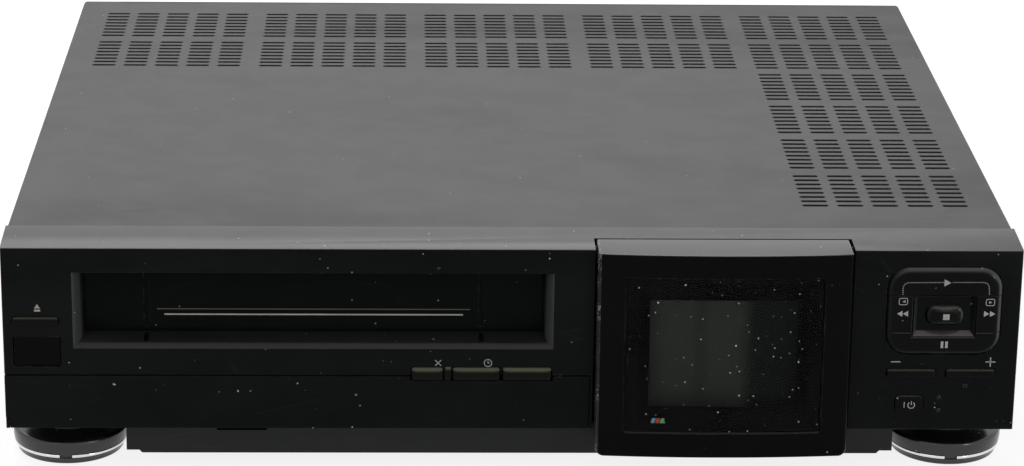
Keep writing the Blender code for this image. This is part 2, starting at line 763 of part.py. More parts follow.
def well_box():
    """The sunk plate in the middle of the pad."""
    middle = (PAD_X[0] + PAD_X[1]) / 2
    top = TOP - PAD_DROP
    return ((middle - WELL_WIDTH / 2, middle + WELL_WIDTH / 2),
            (top - PAD_HEIGHT * WELL_LOW_SHARE, top - PAD_HEIGHT * PAD_UPPER_SPLIT_SHARE))


def stop_box():
    x, z = well_box()
    middle, height = (x[0] + x[1]) / 2, (z[0] + z[1]) / 2
    return ((middle - STOP_WIDTH / 2, middle + STOP_WIDTH / 2),
            (height - STOP_HEIGHT / 2, height + STOP_HEIGHT / 2))


def grown(span, by):
    return (span[0] - by, span[1] + by)


def led_places():
    return [(PAD_X[0] + LED_INSET, TOP - drop) for drop in LED_DROPS]


def front_board_box():
    """The key board stands between the screen notch and the panel's right side."""
    x = (NOTCH_X[1] + NOTCH_WALL + BOSS_RADIUS, SIDE - BEZEL_WALL - BOSS_RADIUS)
    return x, grown((BEZEL_Z + BEZEL_WALL, TOP - BEZEL_WALL), -BOSS_RADIUS)


def bezel_bosses():
    """Three bosses carry the key board clear of the buttons."""
    x, z = front_board_box()
    return [(x[0] + BOSS_RADIUS, z[0] + BOSS_RADIUS), (x[1] - BOSS_RADIUS, z[0] + BOSS_RADIUS),
            (x[0] + BOSS_RADIUS, z[1] - BOSS_RADIUS)]


def mouth_sections():
    """The mouth narrows through its bevel and its taper, then runs straight to the inside."""
    def ring(inset):
        return ((MOUTH_X[0] + inset, MOUTH_X[1] - inset), (MOUTH_Z[0] + inset, MOUTH_Z[1]))
    deep = MOUTH_DEPTH + FLAP_SHEET + 2 * OVERRUN
    levels = ((-OVERRUN, 0), (0, 0), (MOUTH_BEVEL, MOUTH_BEVEL),
              (MOUTH_DEPTH - CLEAR, MOUTH_BEVEL + MOUTH_TAPER), (deep, MOUTH_BEVEL + MOUTH_TAPER))
    return [(y, *ring(inset)) for y, inset in levels]


def rib_x():
    """Guide grooves near both ends of the mouth."""
    half = RIB_WIDTH / 2
    return [(x - half, x + half) for x in (MOUTH_X[0] + RIB_INSET, MOUTH_X[1] - RIB_INSET)]


def flap_pin():
    """Height and depth of the cassette flap's axis."""
    return MOUTH_DEPTH + FLAP_SHEET / 2, FLAP_Z[1] - CLEAR - FLAP_PIN_DROP


def build_bezel_shell():
    bm = shape(box((-SIDE, SIDE), (0, BEZEL_DEPTH), (BEZEL_Z, TOP)))
    for vert in bm.verts:
        if vert.co.y < BEZEL_DEPTH / 2:
            vert.co.x -= math.copysign(BEZEL_DRAFT, vert.co.x)
    rim = [e for e in bm.edges if all(v.co.y < BEZEL_DEPTH / 2 for v in e.verts)]
    bmesh.ops.bevel(bm, geom=rim, offset=BEZEL_EDGE, segments=2, profile=EVEN_ROUND, affect="EDGES")
    bezel = make_part("front_bezel", bm, "moulding_black")
    inner = SIDE - BEZEL_WALL
    cut(bezel, shape(box((-inner, inner), (BEZEL_WALL, BEZEL_DEPTH + OVERRUN),
                         (BEZEL_Z + BEZEL_WALL, TOP - BEZEL_WALL))), "hollow")
    return bezel


def add_bezel_walls(bezel):
    """Walls behind the face: screen notch, mouth collar, door tray and board bosses."""
    join(bezel, shape(box(grown(NOTCH_X, NOTCH_WALL), (BEZEL_WALL - BITE, NOTCH_DEPTH + NOTCH_WALL),
                          (BEZEL_Z + BITE, TOP - BITE))), "notch_walls")
    collar_back = MOUTH_DEPTH + FLAP_SHEET + COLLAR_WALL
    join(bezel, shape(box(grown(MOUTH_X, COLLAR_WALL), (BEZEL_WALL - BITE, collar_back),
                          (MOUTH_Z[0] - COLLAR_WALL, MOUTH_Z[1] + FLAP_HEADROOM + COLLAR_WALL))), "collar")
    join(bezel, shape(box((-SIDE + BEZEL_WALL - BITE, NOTCH_X[0] - BITE),
                          (BEZEL_WALL - BITE, TRAY_DEPTH + TRAY_WALL),
                          (BEZEL_Z + BITE, DOOR_TOP - TRAY_TOP_DROP + TRAY_WALL))), "tray")
    bosses = [rod((x, 0, z), "Y", BOSS_RADIUS, (BEZEL_WALL - BITE, FRONT_BOARD_Y - CLEAR))
              for x, z in bezel_bosses()]
    join(bezel, shape(*bosses), "bosses")


def cut_mouth(bezel):
    cut(bezel, shape(loft(mouth_sections())), "mouth")
    y, z = flap_pin()
    cut(bezel, shape(box(FLAP_X, (MOUTH_DEPTH - CLEAR, MOUTH_DEPTH + FLAP_SHEET + OVERRUN),
                         (MOUTH_Z[0] + MOUTH_HEIGHT / 2, MOUTH_Z[1] + FLAP_HEADROOM))), "flap_headroom")
    cut(bezel, shape(rod((0, y, z), "X", FLAP_PIN_RADIUS + CLEAR,
                         grown(FLAP_X, FLAP_PIN_REACH + CLEAR))), "flap_pin_holes")
    sill = (MOUTH_Z[0] + MOUTH_BEVEL - RIB_DEPTH, FLAP_Z[0] + RIB_DEPTH)
    cut(bezel, shape(*[box(x, (MOUTH_BEVEL + RIB_DEPTH, MOUTH_DEPTH), sill) for x in rib_x()]),
        "sill_grooves")


def cut_notch(bezel):
    cut(bezel, shape(box(NOTCH_X, (-OVERRUN, NOTCH_DEPTH), (BEZEL_Z - OVERRUN, TOP + OVERRUN))), "notch")
    cut(bezel, shape(rod((0, SCREEN_PIN_Y, SCREEN_PIN_Z), "X", SCREEN_PIN_RADIUS + CLEAR,
                         grown(NOTCH_X, NOTCH_WALL + OVERRUN))), "screen_pin_holes")


def door_x():
    """The door's lower edge, between the cheek on the left and the strip on the right."""
    return (-SIDE + DOOR_CHEEK, NOTCH_X[0] - DOOR_END)


def door_pin():
    """Depth and height of the door's axis, inside its lower edge."""
    return DOOR_SHEET / 2, BEZEL_Z + DOOR_SHEET / 2


def cut_door(bezel):
    """Above its left cheek the door runs out to the recorder's side."""
    x = door_x()
    y, z = door_pin()
    depth = (-OVERRUN, DOOR_SHEET + 2 * CLEAR)
    cheek_top = BEZEL_Z + DOOR_CHEEK_HEIGHT
    cut(bezel, shape(box(x, depth, (BEZEL_Z - OVERRUN, cheek_top + BITE))), "door_foot")
    cut(bezel, shape(box((-SIDE - OVERRUN, x[1]), depth, (cheek_top, DOOR_TOP + DOOR_GAP))),
        "door_opening")
    cut(bezel, shape(box((x[0] + TRAY_SIDE, x[1] - TRAY_SIDE), (0, TRAY_DEPTH),
                         (BEZEL_Z + TRAY_FLOOR_RISE, DOOR_TOP - TRAY_TOP_DROP))), "tray_hollow")
    cut(bezel, shape(rod((0, y, z), "X", DOOR_PIN_RADIUS + CLEAR, grown(x, DOOR_PIN_REACH + CLEAR))),
        "door_pin_holes")


def cut_button_holes(bezel):
    through = (-OVERRUN, BEZEL_WALL + OVERRUN)
    plain = [eject_box(), sensor_box(), *level_boxes()] + [(x, mode_z()) for x in mode_ranges()]
    cut(bezel, shape(*[rounded_box(grown(x, CLEAR), through, grown(z, CLEAR), "Y",
                                   BUTTON_CORNER + CLEAR, 2) for x, z in plain]), "button_holes")
    x, z = power_box()
    cut(bezel, shape(rounded_box(grown(x, CLEAR), through, grown(z, CLEAR), "Y", POWER_CORNER + CLEAR)),
        "power_hole")
    cut(bezel, shape(rounded_box(grown(PAD_X, CLEAR), through, grown(pad_z(), CLEAR), "Y",
                                 PAD_CORNER + CLEAR, 5)), "pad_hole")
    cut(bezel, shape(*[rod((x, 0, z), "Y", LED_RADIUS + CLEAR, through) for x, z in led_places()]),
        "lamp_holes")


def build_bezel():
    bezel = build_bezel_shell()
    add_bezel_walls(bezel)
    cut_mouth(bezel)
    cut_notch(bezel)
    cut_door(bezel)
    cut_button_holes(bezel)
    low, high = mode_z()
    join(bezel, shape(box(nub_x(), (-BUTTON_PROUD / 2, BEZEL_WALL),
                          (low, DOOR_TOP + DOOR_GAP + BEZEL_EDGE)),), "nub")
    return bezel


def build_flap():
    """The cassette flap hangs from two pins and swings inwards when a cassette is pushed in."""
    y, z = flap_pin()
    x = grown(FLAP_X, -CLEAR)
    bm = shape(rounded_box(x, (MOUTH_DEPTH, MOUTH_DEPTH + FLAP_SHEET),
                           (FLAP_Z[0] + CLEAR, FLAP_Z[1] - CLEAR), "X", BUTTON_EDGE, 2))
    flap = make_part("cassette_flap", bm, "moulding_black", (0, y, z))
    join(flap, shape(rod((0, y, z), "X", FLAP_PIN_RADIUS, grown(x, FLAP_PIN_REACH))), "pins")
    grooves = [box(rx, (MOUTH_DEPTH - OVERRUN, MOUTH_DEPTH + RIB_DEPTH), (FLAP_Z[0] + RIB_STOP, TOP))
               for rx in rib_x()]
    cut(flap, shape(*grooves), "grooves")


def build_door():
    """The drop-down door has a shallow hollow in its upper edge for the mode buttons."""
    y, z = door_pin()
    x = grown(door_x(), -CLEAR)
    through = (-OVERRUN, DOOR_SHEET + OVERRUN)
    bm = shape(rounded_box((-SIDE + BEZEL_DRAFT, x[1]), (0, DOOR_SHEET), (BEZEL_Z, DOOR_TOP),
                           "X", DOOR_EDGE, 2))
    door = make_part("drop_down_door", bm, "moulding_black", (0, y, z))
    cut(door, shape(box((-SIDE - OVERRUN, x[0]), through,
                        (BEZEL_Z - OVERRUN, BEZEL_Z + DOOR_CHEEK_HEIGHT + 2 * CLEAR))), "cheek_notch")
    join(door, shape(rod((0, y, z), "X", DOOR_PIN_RADIUS, grown(x, DOOR_PIN_REACH))), "pins")
    row = (mode_ranges()[0][0], mode_ranges()[-1][1])
    cut(door, shape(box(grown(row, BUTTON_LIP), through,
                        (mode_z()[0] - BUTTON_LIP, DOOR_TOP + OVERRUN))), "button_hollow")


def build_button(name, x, z, corner=BUTTON_CORNER, proud=BUTTON_PROUD, back=BEZEL_WALL, segments=2):
    """A push button: a cap through the panel and a flange that holds it in from behind."""
    flange = back + CLEAR
    middle = ((x[0] + x[1]) / 2, -proud, (z[0] + z[1]) / 2)
    bm = shape(rounded_box(x, (-proud, flange + BITE), z, "Y", corner, segments, BUTTON_EDGE))
    button = make_part(name, bm, "key_black", middle)
    join(button, shape(rounded_box(grown(x, BUTTON_LIP), (flange, flange + BUTTON_FLANGE),
                                   grown(z, BUTTON_LIP), "Y", corner + BUTTON_LIP, segments)),
         "flange")
    return button


def build_buttons():
    for name, x in zip(("reset_button", "timer_button", "monitor_mode_button"), mode_ranges()):
        build_mode_button(name, x)
    build_button("eject_button", *eject_box())
    for name, spans in zip(("minus_button", "plus_button"), level_boxes()):
        build_button(name, *spans)
    build_button("power_button", *power_box(), corner=POWER_CORNER, segments=4)


def build_mode_button(name, x):
    """A mode button's flange only reaches sideways and up, clear of the door."""
    z = mode_z()
    flange = DOOR_SHEET + CLEAR
    middle = ((x[0] + x[1]) / 2, -BUTTON_PROUD, (z[0] + z[1]) / 2)
    bm = shape(rounded_box(x, (-BUTTON_PROUD, flange + BITE), z, "Y", BUTTON_CORNER, 2, BUTTON_EDGE))
    button = make_part(name, bm, "key_black", middle)
    side = MODE_GAPS[1] / 4
    join(button, shape(box(grown(x, side), (flange, flange + BUTTON_FLANGE),
                           (z[0], z[1] + BUTTON_FLANGE))), "flange")


def build_pad_key(name, x, z, dished):
    """One of the four keys: its share of the rounded square, cut clear of the well."""
    bm = shape(rounded_box(PAD_X, (-PAD_PROUD, PAD_KEY_DEPTH), pad_z(), "Y", PAD_CORNER, 5, PAD_EDGE))
    middle = ((x[0] + x[1]) / 2, -PAD_PROUD, (z[0] + z[1]) / 2)
    key = make_part(name, bm, "key_black", middle)
    combine(key, shape(box(x, (-2 * OVERRUN, 2 * OVERRUN), z)), "INTERSECT", "share")
    if dished:
        wx, wz = well_box()
        cut(key, shape(box(grown(wx, CLEAR / 2), (-3 * OVERRUN, 3 * OVERRUN), grown(wz, CLEAR / 2))), "well")


def build_pad():
    low, high = pad_z()
    upper = high - PAD_HEIGHT * PAD_UPPER_SPLIT_SHARE
    lower = high - PAD_HEIGHT * PAD_LOWER_SPLIT_SHARE
    half = CLEAR / 2
    wx, wz = well_box()
    across = grown(PAD_X, OVERRUN)
    build_pad_key("play_key", across, (upper + half, high + OVERRUN), False)
    build_pad_key("pause_key", across, (low - OVERRUN, lower - half), True)
    build_pad_key("rewind_key", (PAD_X[0] - OVERRUN, wx[0] - half), (lower + half, upper - half), False)
    build_pad_key("forward_key", (wx[1] + half, PAD_X[1] + OVERRUN), (lower + half, upper - half), False)
    build_pad_frame()
    x, z = stop_box()
    build_button("stop_button", x, z, STOP_HEIGHT / 2 - CLEAR, STOP_PROUD, FRAME_DEPTH, 5)


def build_pad_frame():
    """A shallow tray behind the keys whose middle rises to the sunk plate of the pad."""
    z = pad_z()
    tray = shape(rounded_box(grown(PAD_X, FRAME_RIM), (BEZEL_WALL + CLEAR, FRAME_DEPTH),
                             grown(z, FRAME_RIM), "Y", PAD_CORNER + FRAME_RIM, 5))
    frame = make_part("pad_frame", tray, "moulding_black")
    cut(frame, shape(rounded_box(grown(PAD_X, CLEAR), (0, FRAME_DEPTH - FRAME_SHEET), grown(z, CLEAR),
                                 "Y", PAD_CORNER + CLEAR, 5)), "pocket")
    wx, wz = well_box()
    join(frame, shape(box(grown(wx, -CLEAR), (WELL_FLOOR, FRAME_DEPTH - FRAME_SHEET + BITE),
                          grown(wz, -CLEAR))), "well_plate")
    x, z = stop_box()
    cut(frame, shape(rounded_box(grown(x, CLEAR), (-OVERRUN, FRAME_DEPTH + OVERRUN), grown(z, CLEAR), "Y",
                                 STOP_HEIGHT / 2, 5)), "stop_hole")


def build_front_trim():
    x, z = sensor_box()
    bm = shape(rounded_box(x, (BUTTON_EDGE, BUTTON_EDGE + SENSOR_SHEET), z, "Y", BUTTON_CORNER, 2,
                           BUTTON_EDGE))
    make_part("sensor_window", bm, "gloss_black")
    for name, (x, z) in zip(("timer_lamp", "standby_lamp"), led_places()):
        profile = [(0, LED_PROUD), (LED_RADIUS / 2, LED_PROUD * 0.8), (LED_RADIUS, 0),
                   (LED_RADIUS, -LED_LENGTH), (0, -LED_LENGTH)]
        lamp = turned(name, profile, "lamp_red", (x, 0, z), sides=COARSE)
        lamp.rotation_euler = (math.pi / 2, 0, 0)


# Screen

def face_y(x, z):
    """Depth of the screen housing's face: bowed in plan and leaning forward at its foot."""
    middle = (SCREEN_X[0] + SCREEN_X[1]) / 2
    half = (SCREEN_X[1] - SCREEN_X[0]) / 2
    bow = SCREEN_BULGE * (1 - ((x - middle) / half) ** 2)
    lean = SCREEN_LEAN * (SCREEN_Z[1] - z) / SCREEN_HEIGHT
    return -SCREEN_SIDE_PROUD - bow - lean


def bowed_block(x, z, inset, back, corner=0, parallel=False):
    """A block whose front follows the face, set back by inset; its back is flat or follows too."""
    def build(bm):
        part = bmesh.new()
        verts = box(x, (-1, 1), z)(part)
        bmesh.ops.subdivide_edges(part, edges=long_edges(verts, "X"), cuts=SCREEN_COLUMNS - 1)
        if corner:
            low = [e for e in long_edges(list(part.verts), "Y")
                   if all(v.co.z < z[0] + CLEAR for v in e.verts)
                   and abs(abs(e.verts[0].co.x - sum(x) / 2) - (x[1] - x[0]) / 2) < CLEAR]
            bmesh.ops.bevel(part, geom=low, offset=corner, segments=3, profile=EVEN_ROUND, affect="EDGES")
        for vert in part.verts:
            if vert.co.y < 0:
                vert.co.y = face_y(vert.co.x, vert.co.z) + inset
            elif parallel:
                vert.co.y = face_y(vert.co.x, vert.co.z) + inset + back
            else:
                vert.co.y = back
        copy = bpy.data.meshes.new("scratch")
        part.to_mesh(copy)
        part.free()
        bm.from_mesh(copy)
        bpy.data.meshes.remove(copy)
    return build


def window_box():
    return grown(SCREEN_X, -WINDOW_INSET), (SCREEN_Z[0] + WINDOW_RISE, SCREEN_Z[1] - WINDOW_DROP)


def build_housing():
    """Screen housing: a bowed frame, open at the back, thinner at its foot to pass the pan."""
    pivot = (sum(SCREEN_X) / 2, SCREEN_PIN_Y, SCREEN_PIN_Z)
    bm = shape(bowed_block(SCREEN_X, SCREEN_Z, 0, SCREEN_BACK, SCREEN_CORNER))
    housing = make_part("screen_housing", bm, "gloss_black", pivot)
    bevel = housing.modifiers.new("edges", "BEVEL")
    bevel.width = SCREEN_EDGE
    bevel.segments = 2
    bevel.limit_method = "ANGLE"
    bevel.angle_limit = math.radians(50)
    step = BEZEL_Z + BEZEL_WALL
    cut(housing, shape(box(grown(SCREEN_X, OVERRUN), (SCREEN_FOOT_BACK, SCREEN_BACK + OVERRUN),
                           (SCREEN_Z[0] - OVERRUN, step))), "foot_step")
    inner = grown(SCREEN_X, -SCREEN_WALL)
    cut(housing, shape(bowed_block(inner, (step + SCREEN_WALL, TOP - SCREEN_WALL), SCREEN_WALL,
                                   SCREEN_BACK + OVERRUN)), "hollow")
    x, z = window_box()
    cut(housing, shape(box(x, (-3 * OVERRUN, 0), z)), "window_opening")
    cut(housing, shape(rod((0, SCREEN_PIN_Y, SCREEN_PIN_Z), "X", SCREEN_PIN_RADIUS + CLEAR,
                           grown(SCREEN_X, OVERRUN))), "pin_holes")


def build_screen():
    build_housing()
    pivot = (sum(SCREEN_X) / 2, SCREEN_PIN_Y, SCREEN_PIN_Z)
    x, z = window_box()
    make_part("screen_window", shape(bowed_block(grown(x, -CLEAR), grown(z, -CLEAR), WINDOW_SUNK,
                                                 WINDOW_SHEET, parallel=True)), "gloss_black", pivot)
    cover_y = (SCREEN_BACK - SCREEN_COVER, SCREEN_BACK)
    low = BEZEL_Z + BEZEL_WALL + SCREEN_WALL
    inside = grown(SCREEN_X, -SCREEN_WALL - CLEAR)
    cover_top = SCREEN_PIN_Z - 2 * SCREEN_PIN_RADIUS
    make_part("screen_cover", shape(box(inside, cover_y, (low + CLEAR, cover_top))), "pan_grey", pivot)
    make_part("lcd_module", shape(box(grown(x, -LCD_INSET), (LCD_FRONT, cover_y[0] - CLEAR),
                                      (z[0] + LCD_RISE, z[1] - LCD_DROP))), "lcd_grey", pivot)
    for side, word in ((0, "left"), (1, "right")):
        outward = -1 if side == 0 else 1
        ends = sorted((SCREEN_X[side] + outward * (SCREEN_GAP + SCREEN_PIN_OUT),
                       SCREEN_X[side] - outward * (SCREEN_WALL + SCREEN_PIN_RADIUS)))
        make_part("screen_pin_" + word, shape(rod((0, SCREEN_PIN_Y, SCREEN_PIN_Z), "X", SCREEN_PIN_RADIUS,
                                                  ends)), "steel", pivot)


# Rear

def build_rear_panel():
    x = SIDE - COVER_SET_IN - COVER_SHEET - REAR_SIDE
    y = (REAR_FACE - REAR_SHEET, REAR_FACE)
    bm = shape(box((-x, x), y, (SHELF_TOP + CLEAR, TOP - COVER_SHEET - 2 * CLEAR)))
    panel = make_part("rear_panel", bm, "pan_grey")
    through = grown(y, OVERRUN)
    holes = [rod((px, 0, pz), "Y", SOCKET_RADIUS + CLEAR, through, MEDIUM) for px, pz in socket_places()]
    holes += [rod((sx, 0, TOP - SCREW_DROP), "Y", SCREW_SHANK + CLEAR, through) for sx in screw_x()]
    for spans in (scart_box(), inlet_box()):
        holes.append(box(grown(spans[0], CLEAR), through, grown(spans[1], CLEAR)))
    cut(panel, shape(*holes), "openings")


def tuner_box():
    low = -SIDE + TUNER_INSET
    top = TOP - TUNER_DROP
    return (low, low + TUNER_SIZE[0]), (top - TUNER_SIZE[2], top)


def socket_places():
    x, z = tuner_box()
    inset = TUNER_SIZE[0] * TUNER_SOCKET_SHARE
    return [(x[0] + inset, sum(z) / 2), (x[1] - inset, sum(z) / 2)]


def scart_box():
    low = -SIDE + SCART_INSET
    z = DECK_TOP
    return (low, low + SCART_SIZE[0]), (z, z + SCART_SIZE[2])


def inlet_box():
    high = SIDE - INLET_INSET
    z = DECK_TOP
    return (high - INLET_SIZE[0], high), (z, z + INLET_SIZE[2])


def build_sockets():
    """Tuner with two aerial sockets, audio and video socket, and mains inlet."""
    x, z = tuner_box()
    inner = REAR_FACE - REAR_SHEET - CLEAR
    tuner = make_part("tuner", shape(box(x, (inner - TUNER_SIZE[1], inner), z)), "zinc")
    places = socket_places()
    join(tuner, shape(*[rod((px, 0, pz), "Y", SOCKET_RADIUS, (inner - BITE, REAR_FACE + SOCKET_PROUD),
                            MEDIUM) for px, pz in places]), "sockets")
    cut(tuner, shape(*[rod((px, 0, pz), "Y", SOCKET_BORE, (REAR_FACE, REAR_FACE + SOCKET_PROUD + OVERRUN))
                       for px, pz in places]), "bores")
    build_rear_socket("scart_socket", scart_box(), SCART_SIZE[1], SCART_SLOT, SCART_RIM)
    build_rear_socket("mains_inlet", inlet_box(), INLET_SIZE[1], INLET_SLOT, SCART_RIM)


def build_rear_socket(name, spans, length, depth, rim):
    """A socket body through the rear panel with a flange inside and a hollow mouth."""
    x, z = spans
    face = REAR_FACE + rim / 2
    inner = REAR_FACE - REAR_SHEET - CLEAR
    socket = make_part(name, shape(box(x, (face - length, face), z)), "key_black")
    join(socket, shape(box(grown(x, rim), (inner - rim, inner), grown(z, rim))), "flange")
    cut(socket, shape(rounded_box(grown(x, -rim), (face - depth, face + OVERRUN), grown(z, -rim), "Y",
                                  rim, 2)), "mouth")


# Cassette mechanism

def deck_half():
    """Half of the deck's width: basket, slider and guide plates, and what carries them."""
    return guide_inner() + GUIDE_SHEET + DECK_OVERLAP


def slider_inner():
    return BASKET_INNER + BASKET_SHEET + MECH_GAP


def guide_inner():
    return slider_inner() + SLIDER_SHEET + MECH_GAP


def reel_y():
    return LOADED_BACK - BASKET_LENGTH / 2 - REEL_BEHIND


def post_track():
    """Start and end of the right loading post's track, and its heading from +y."""
    start = Vector((MECH_X + POST_START[0], LOADED_BACK + POST_START[1]))
    end = Vector((MECH_X + POST_END[0], LOADED_BACK + POST_END[1]))
    heading = math.atan2(end.x - start.x, end.y - start.y)
    return start, end, heading


def turned_box(size, place, angle, z):
    """A block centred on place, turned about the upright axis."""
    def build(bm):
        matrix = (Matrix.Translation((place[0], place[1], (z[0] + z[1]) / 2))
                  @ Matrix.Rotation(-angle, 4, "Z") @ Matrix.Diagonal((size[0], size[1], z[1] - z[0], 1)))
        bmesh.ops.create_cube(bm, size=1, matrix=matrix)
    return build


def mirrored(place, side):
    """The place itself on the right, or its mirror image about the mechanism's middle."""
    return (MECH_X + side * (place[0] - MECH_X), place[1])


def build_deck():
    """Deck plate on four legs, with reel pins, the capstan's bush and the loading tracks."""
    half = deck_half()
    y = (DECK_FRONT, LOADED_BACK + MOTOR_Y + MOTOR_RADIUS + DECK_MARGIN)
    bm = shape(box((MECH_X - half, MECH_X + half), y, (DECK_HEIGHT, DECK_TOP)))
    deck = make_part("deck_plate", bm, "zinc")
    inset = 2 * DECK_LEG_RADIUS
    legs = [rod((x, ly, 0), "Z", DECK_LEG_RADIUS, (TUB_FLOOR + CLEAR, DECK_HEIGHT + BITE))
            for x in leg_x() for ly in (y[0] + inset, y[1] - inset)]
    join(deck, shape(*legs), "legs")
    pins = [rod((MECH_X + side * REEL_SPACING / 2, reel_y(), 0), "Z", REEL_PIN,
                (DECK_TOP - BITE, DECK_TOP + REEL_HEIGHT / 2)) for side in (-1, 1)]
    pins.append(rod((MECH_X + PINCH_X, LOADED_BACK + PINCH_Y, 0), "Z", REEL_PIN,
                    (DECK_TOP - BITE, DECK_TOP + PINCH_SHEET + 2 * MECH_GAP)))
    pins.append(rod((MECH_X + CAPSTAN_X, LOADED_BACK + CAPSTAN_Y, 0), "Z", BUSH_RADIUS,
                    (DECK_TOP - BITE, DECK_TOP + BUSH_HEIGHT), MEDIUM))
    join(deck, shape(*pins), "pins_and_bush")
    cut(deck, shape(rod((MECH_X + CAPSTAN_X, LOADED_BACK + CAPSTAN_Y, 0), "Z", CAPSTAN_RADIUS + CLEAR,
                        (DECK_HEIGHT - OVERRUN, DECK_TOP + BUSH_HEIGHT + OVERRUN))), "capstan_hole")
    start, end, heading = post_track()
    length = (end - start).length + POST_SIZE[1]
    slots = [turned_box((POST_SLOT, length), mirrored((start + end) / 2, side), side * heading,
                        (DECK_HEIGHT - OVERRUN, DECK_TOP + OVERRUN)) for side in (-1, 1)]
    cut(deck, shape(*slots), "tracks")


def leg_x():
    """The deck's legs stand on the tub's floor, clear of its stepped sides."""
    inset = 2 * DECK_LEG_RADIUS
    left = max(MECH_X - deck_half() + inset, -TUB_X + TUB_STEP_WIDTH + inset)
    return (left, MECH_X + deck_half() - inset)


def build_reels():
    for side, name in ((-1, "supply_reel"), (1, "takeup_reel")):
        low = MECH_GAP
        bore = REEL_PIN + CLEAR
        profile = [(0, REEL_HEIGHT), (REEL_HUB * 0.5, REEL_HEIGHT), (REEL_HUB, REEL_HEIGHT * 0.8),
                   (REEL_HUB, REEL_FLANGE), (REEL_RADIUS, REEL_FLANGE), (REEL_RADIUS, low), (bore, low),
                   (bore, REEL_HEIGHT / 2 + MECH_GAP), (0, REEL_HEIGHT / 2 + MECH_GAP)]
        reel = turned(name, profile, "white_plastic",
                      (MECH_X + side * REEL_SPACING / 2, reel_y(), DECK_TOP), sides=MEDIUM)
        fins = []
        for i in range(3):
            angle = i * math.tau / 3
            reach = REEL_HUB + REEL_PIN / 2
            centre = (reel.location.x + math.cos(angle) * reach, reel.location.y + math.sin(angle) * reach)
            fins.append(turned_box((2 * REEL_PIN, REEL_PIN), centre, -angle,
                                   (DECK_TOP + REEL_FLANGE - BITE, DECK_TOP + REEL_HEIGHT * 0.8)))
        join(reel, shape(*fins), "fins")


def build_drum():
    """Tape drum: a fixed lower half on a slanted seat and a spinning upper half."""
    place = (MECH_X, LOADED_BACK + DRUM_BEHIND, DECK_TOP + DRUM_SEAT)
    axis = empty("drum_axis", place, FRAME)
    axis.rotation_euler = (math.radians(DRUM_TILT_DEGREES), 0, 0)
    low = DRUM_LOWER
    top = low + DRUM_SPLIT + DRUM_UPPER
    base = turned("drum_base", [(0, top - DRUM_SHAFT), (DRUM_SHAFT, top - DRUM_SHAFT), (DRUM_SHAFT, low),
                                (DRUM_RADIUS, low), (DRUM_RADIUS, low / 3), (DRUM_RADIUS * 0.8, 0), (0, 0)],
                  "aluminium", (0, 0, 0), axis)
    seat = rod((place[0], place[1], 0), "Z", DRUM_RADIUS * 0.6, (DECK_TOP + CLEAR, place[2] + low / 2), MEDIUM)
    join(base, shape(seat), "seat")
    bore = DRUM_SHAFT + CLEAR
    turned("upper_drum", [(0, top), (DRUM_RADIUS * 0.55, top), (DRUM_RADIUS * 0.6, top - DRUM_UPPER / 4),
                          (DRUM_RADIUS, top - DRUM_UPPER / 4), (DRUM_RADIUS, low + DRUM_SPLIT),
                          (bore, low + DRUM_SPLIT), (bore, top - DRUM_SHAFT + CLEAR),
                          (0, top - DRUM_SHAFT + CLEAR)], "aluminium", (0, 0, 0), axis)


def build_capstan():
    """Flywheel under the deck with the capstan shaft up through the bush."""
    x, y = MECH_X + CAPSTAN_X, LOADED_BACK + CAPSTAN_Y
    low = -FLYWHEEL_DROP - FLYWHEEL_SHEET
    rim = FLYWHEEL_RADIUS * 0.8
    profile = [(0, DECK_SHEET + CAPSTAN_TOP), (CAPSTAN_RADIUS, DECK_SHEET + CAPSTAN_TOP),
               (CAPSTAN_RADIUS, -FLYWHEEL_DROP), (rim, -FLYWHEEL_DROP),
               (FLYWHEEL_RADIUS, -FLYWHEEL_DROP - FLYWHEEL_SHEET / 4), (FLYWHEEL_RADIUS, low), (0, low)]
    turned("capstan_flywheel", profile, "steel", (x, y, DECK_HEIGHT))


def roller_place():
    angle = math.radians(PINCH_ARM_DEGREES)
    return (MECH_X + PINCH_X + PINCH_ARM * math.cos(angle), LOADED_BACK + PINCH_Y + PINCH_ARM * math.sin(angle))


def build_pinch():
    """Pinch arm on its deck pin, with the rubber roller that presses tape on the capstan."""
    pivot = Vector((MECH_X + PINCH_X, LOADED_BACK + PINCH_Y, DECK_TOP + MECH_GAP))
    end = roller_place()
    angle = math.radians(PINCH_ARM_DEGREES)
    middle = ((pivot.x + end[0]) / 2, (pivot.y + end[1]) / 2)
    z = (pivot.z, pivot.z + PINCH_SHEET)
    size = (PINCH_ARM, PINCH_WIDTH)
    arm = make_part("pinch_arm", shape(turned_box(size, middle, -angle, z)), "zinc", pivot)
    join(arm, shape(rod((*end, 0), "Z", PINCH_WIDTH / 2, z),
                    rod((pivot.x, pivot.y, 0), "Z", PINCH_WIDTH / 2, z)), "round_ends")
    roller = (DECK_TOP + ROLLER_LOW, DECK_TOP + ROLLER_LOW + ROLLER_HEIGHT)
    join(arm, shape(rod((*end, 0), "Z", PIN_RADIUS, (z[1] - BITE, roller[1] + 2 * MECH_GAP))), "roller_pin")
    join(arm, shape(rod((*end, 0), "Z", 2 * PIN_RADIUS, (z[1] - BITE, roller[0] - CLEAR))), "shoulder")
    cut(arm, shape(rod((pivot.x, pivot.y, 0), "Z", REEL_PIN + CLEAR, grown(z, OVERRUN))), "pivot_hole")
    bore = PIN_RADIUS + CLEAR
    profile = [(bore, ROLLER_HEIGHT), (PINCH_ROLLER, ROLLER_HEIGHT), (PINCH_ROLLER, 0), (bore, 0)]
    turned("pinch_roller", profile, "rubber", (*end, roller[0]), sides=MEDIUM, closed=True)


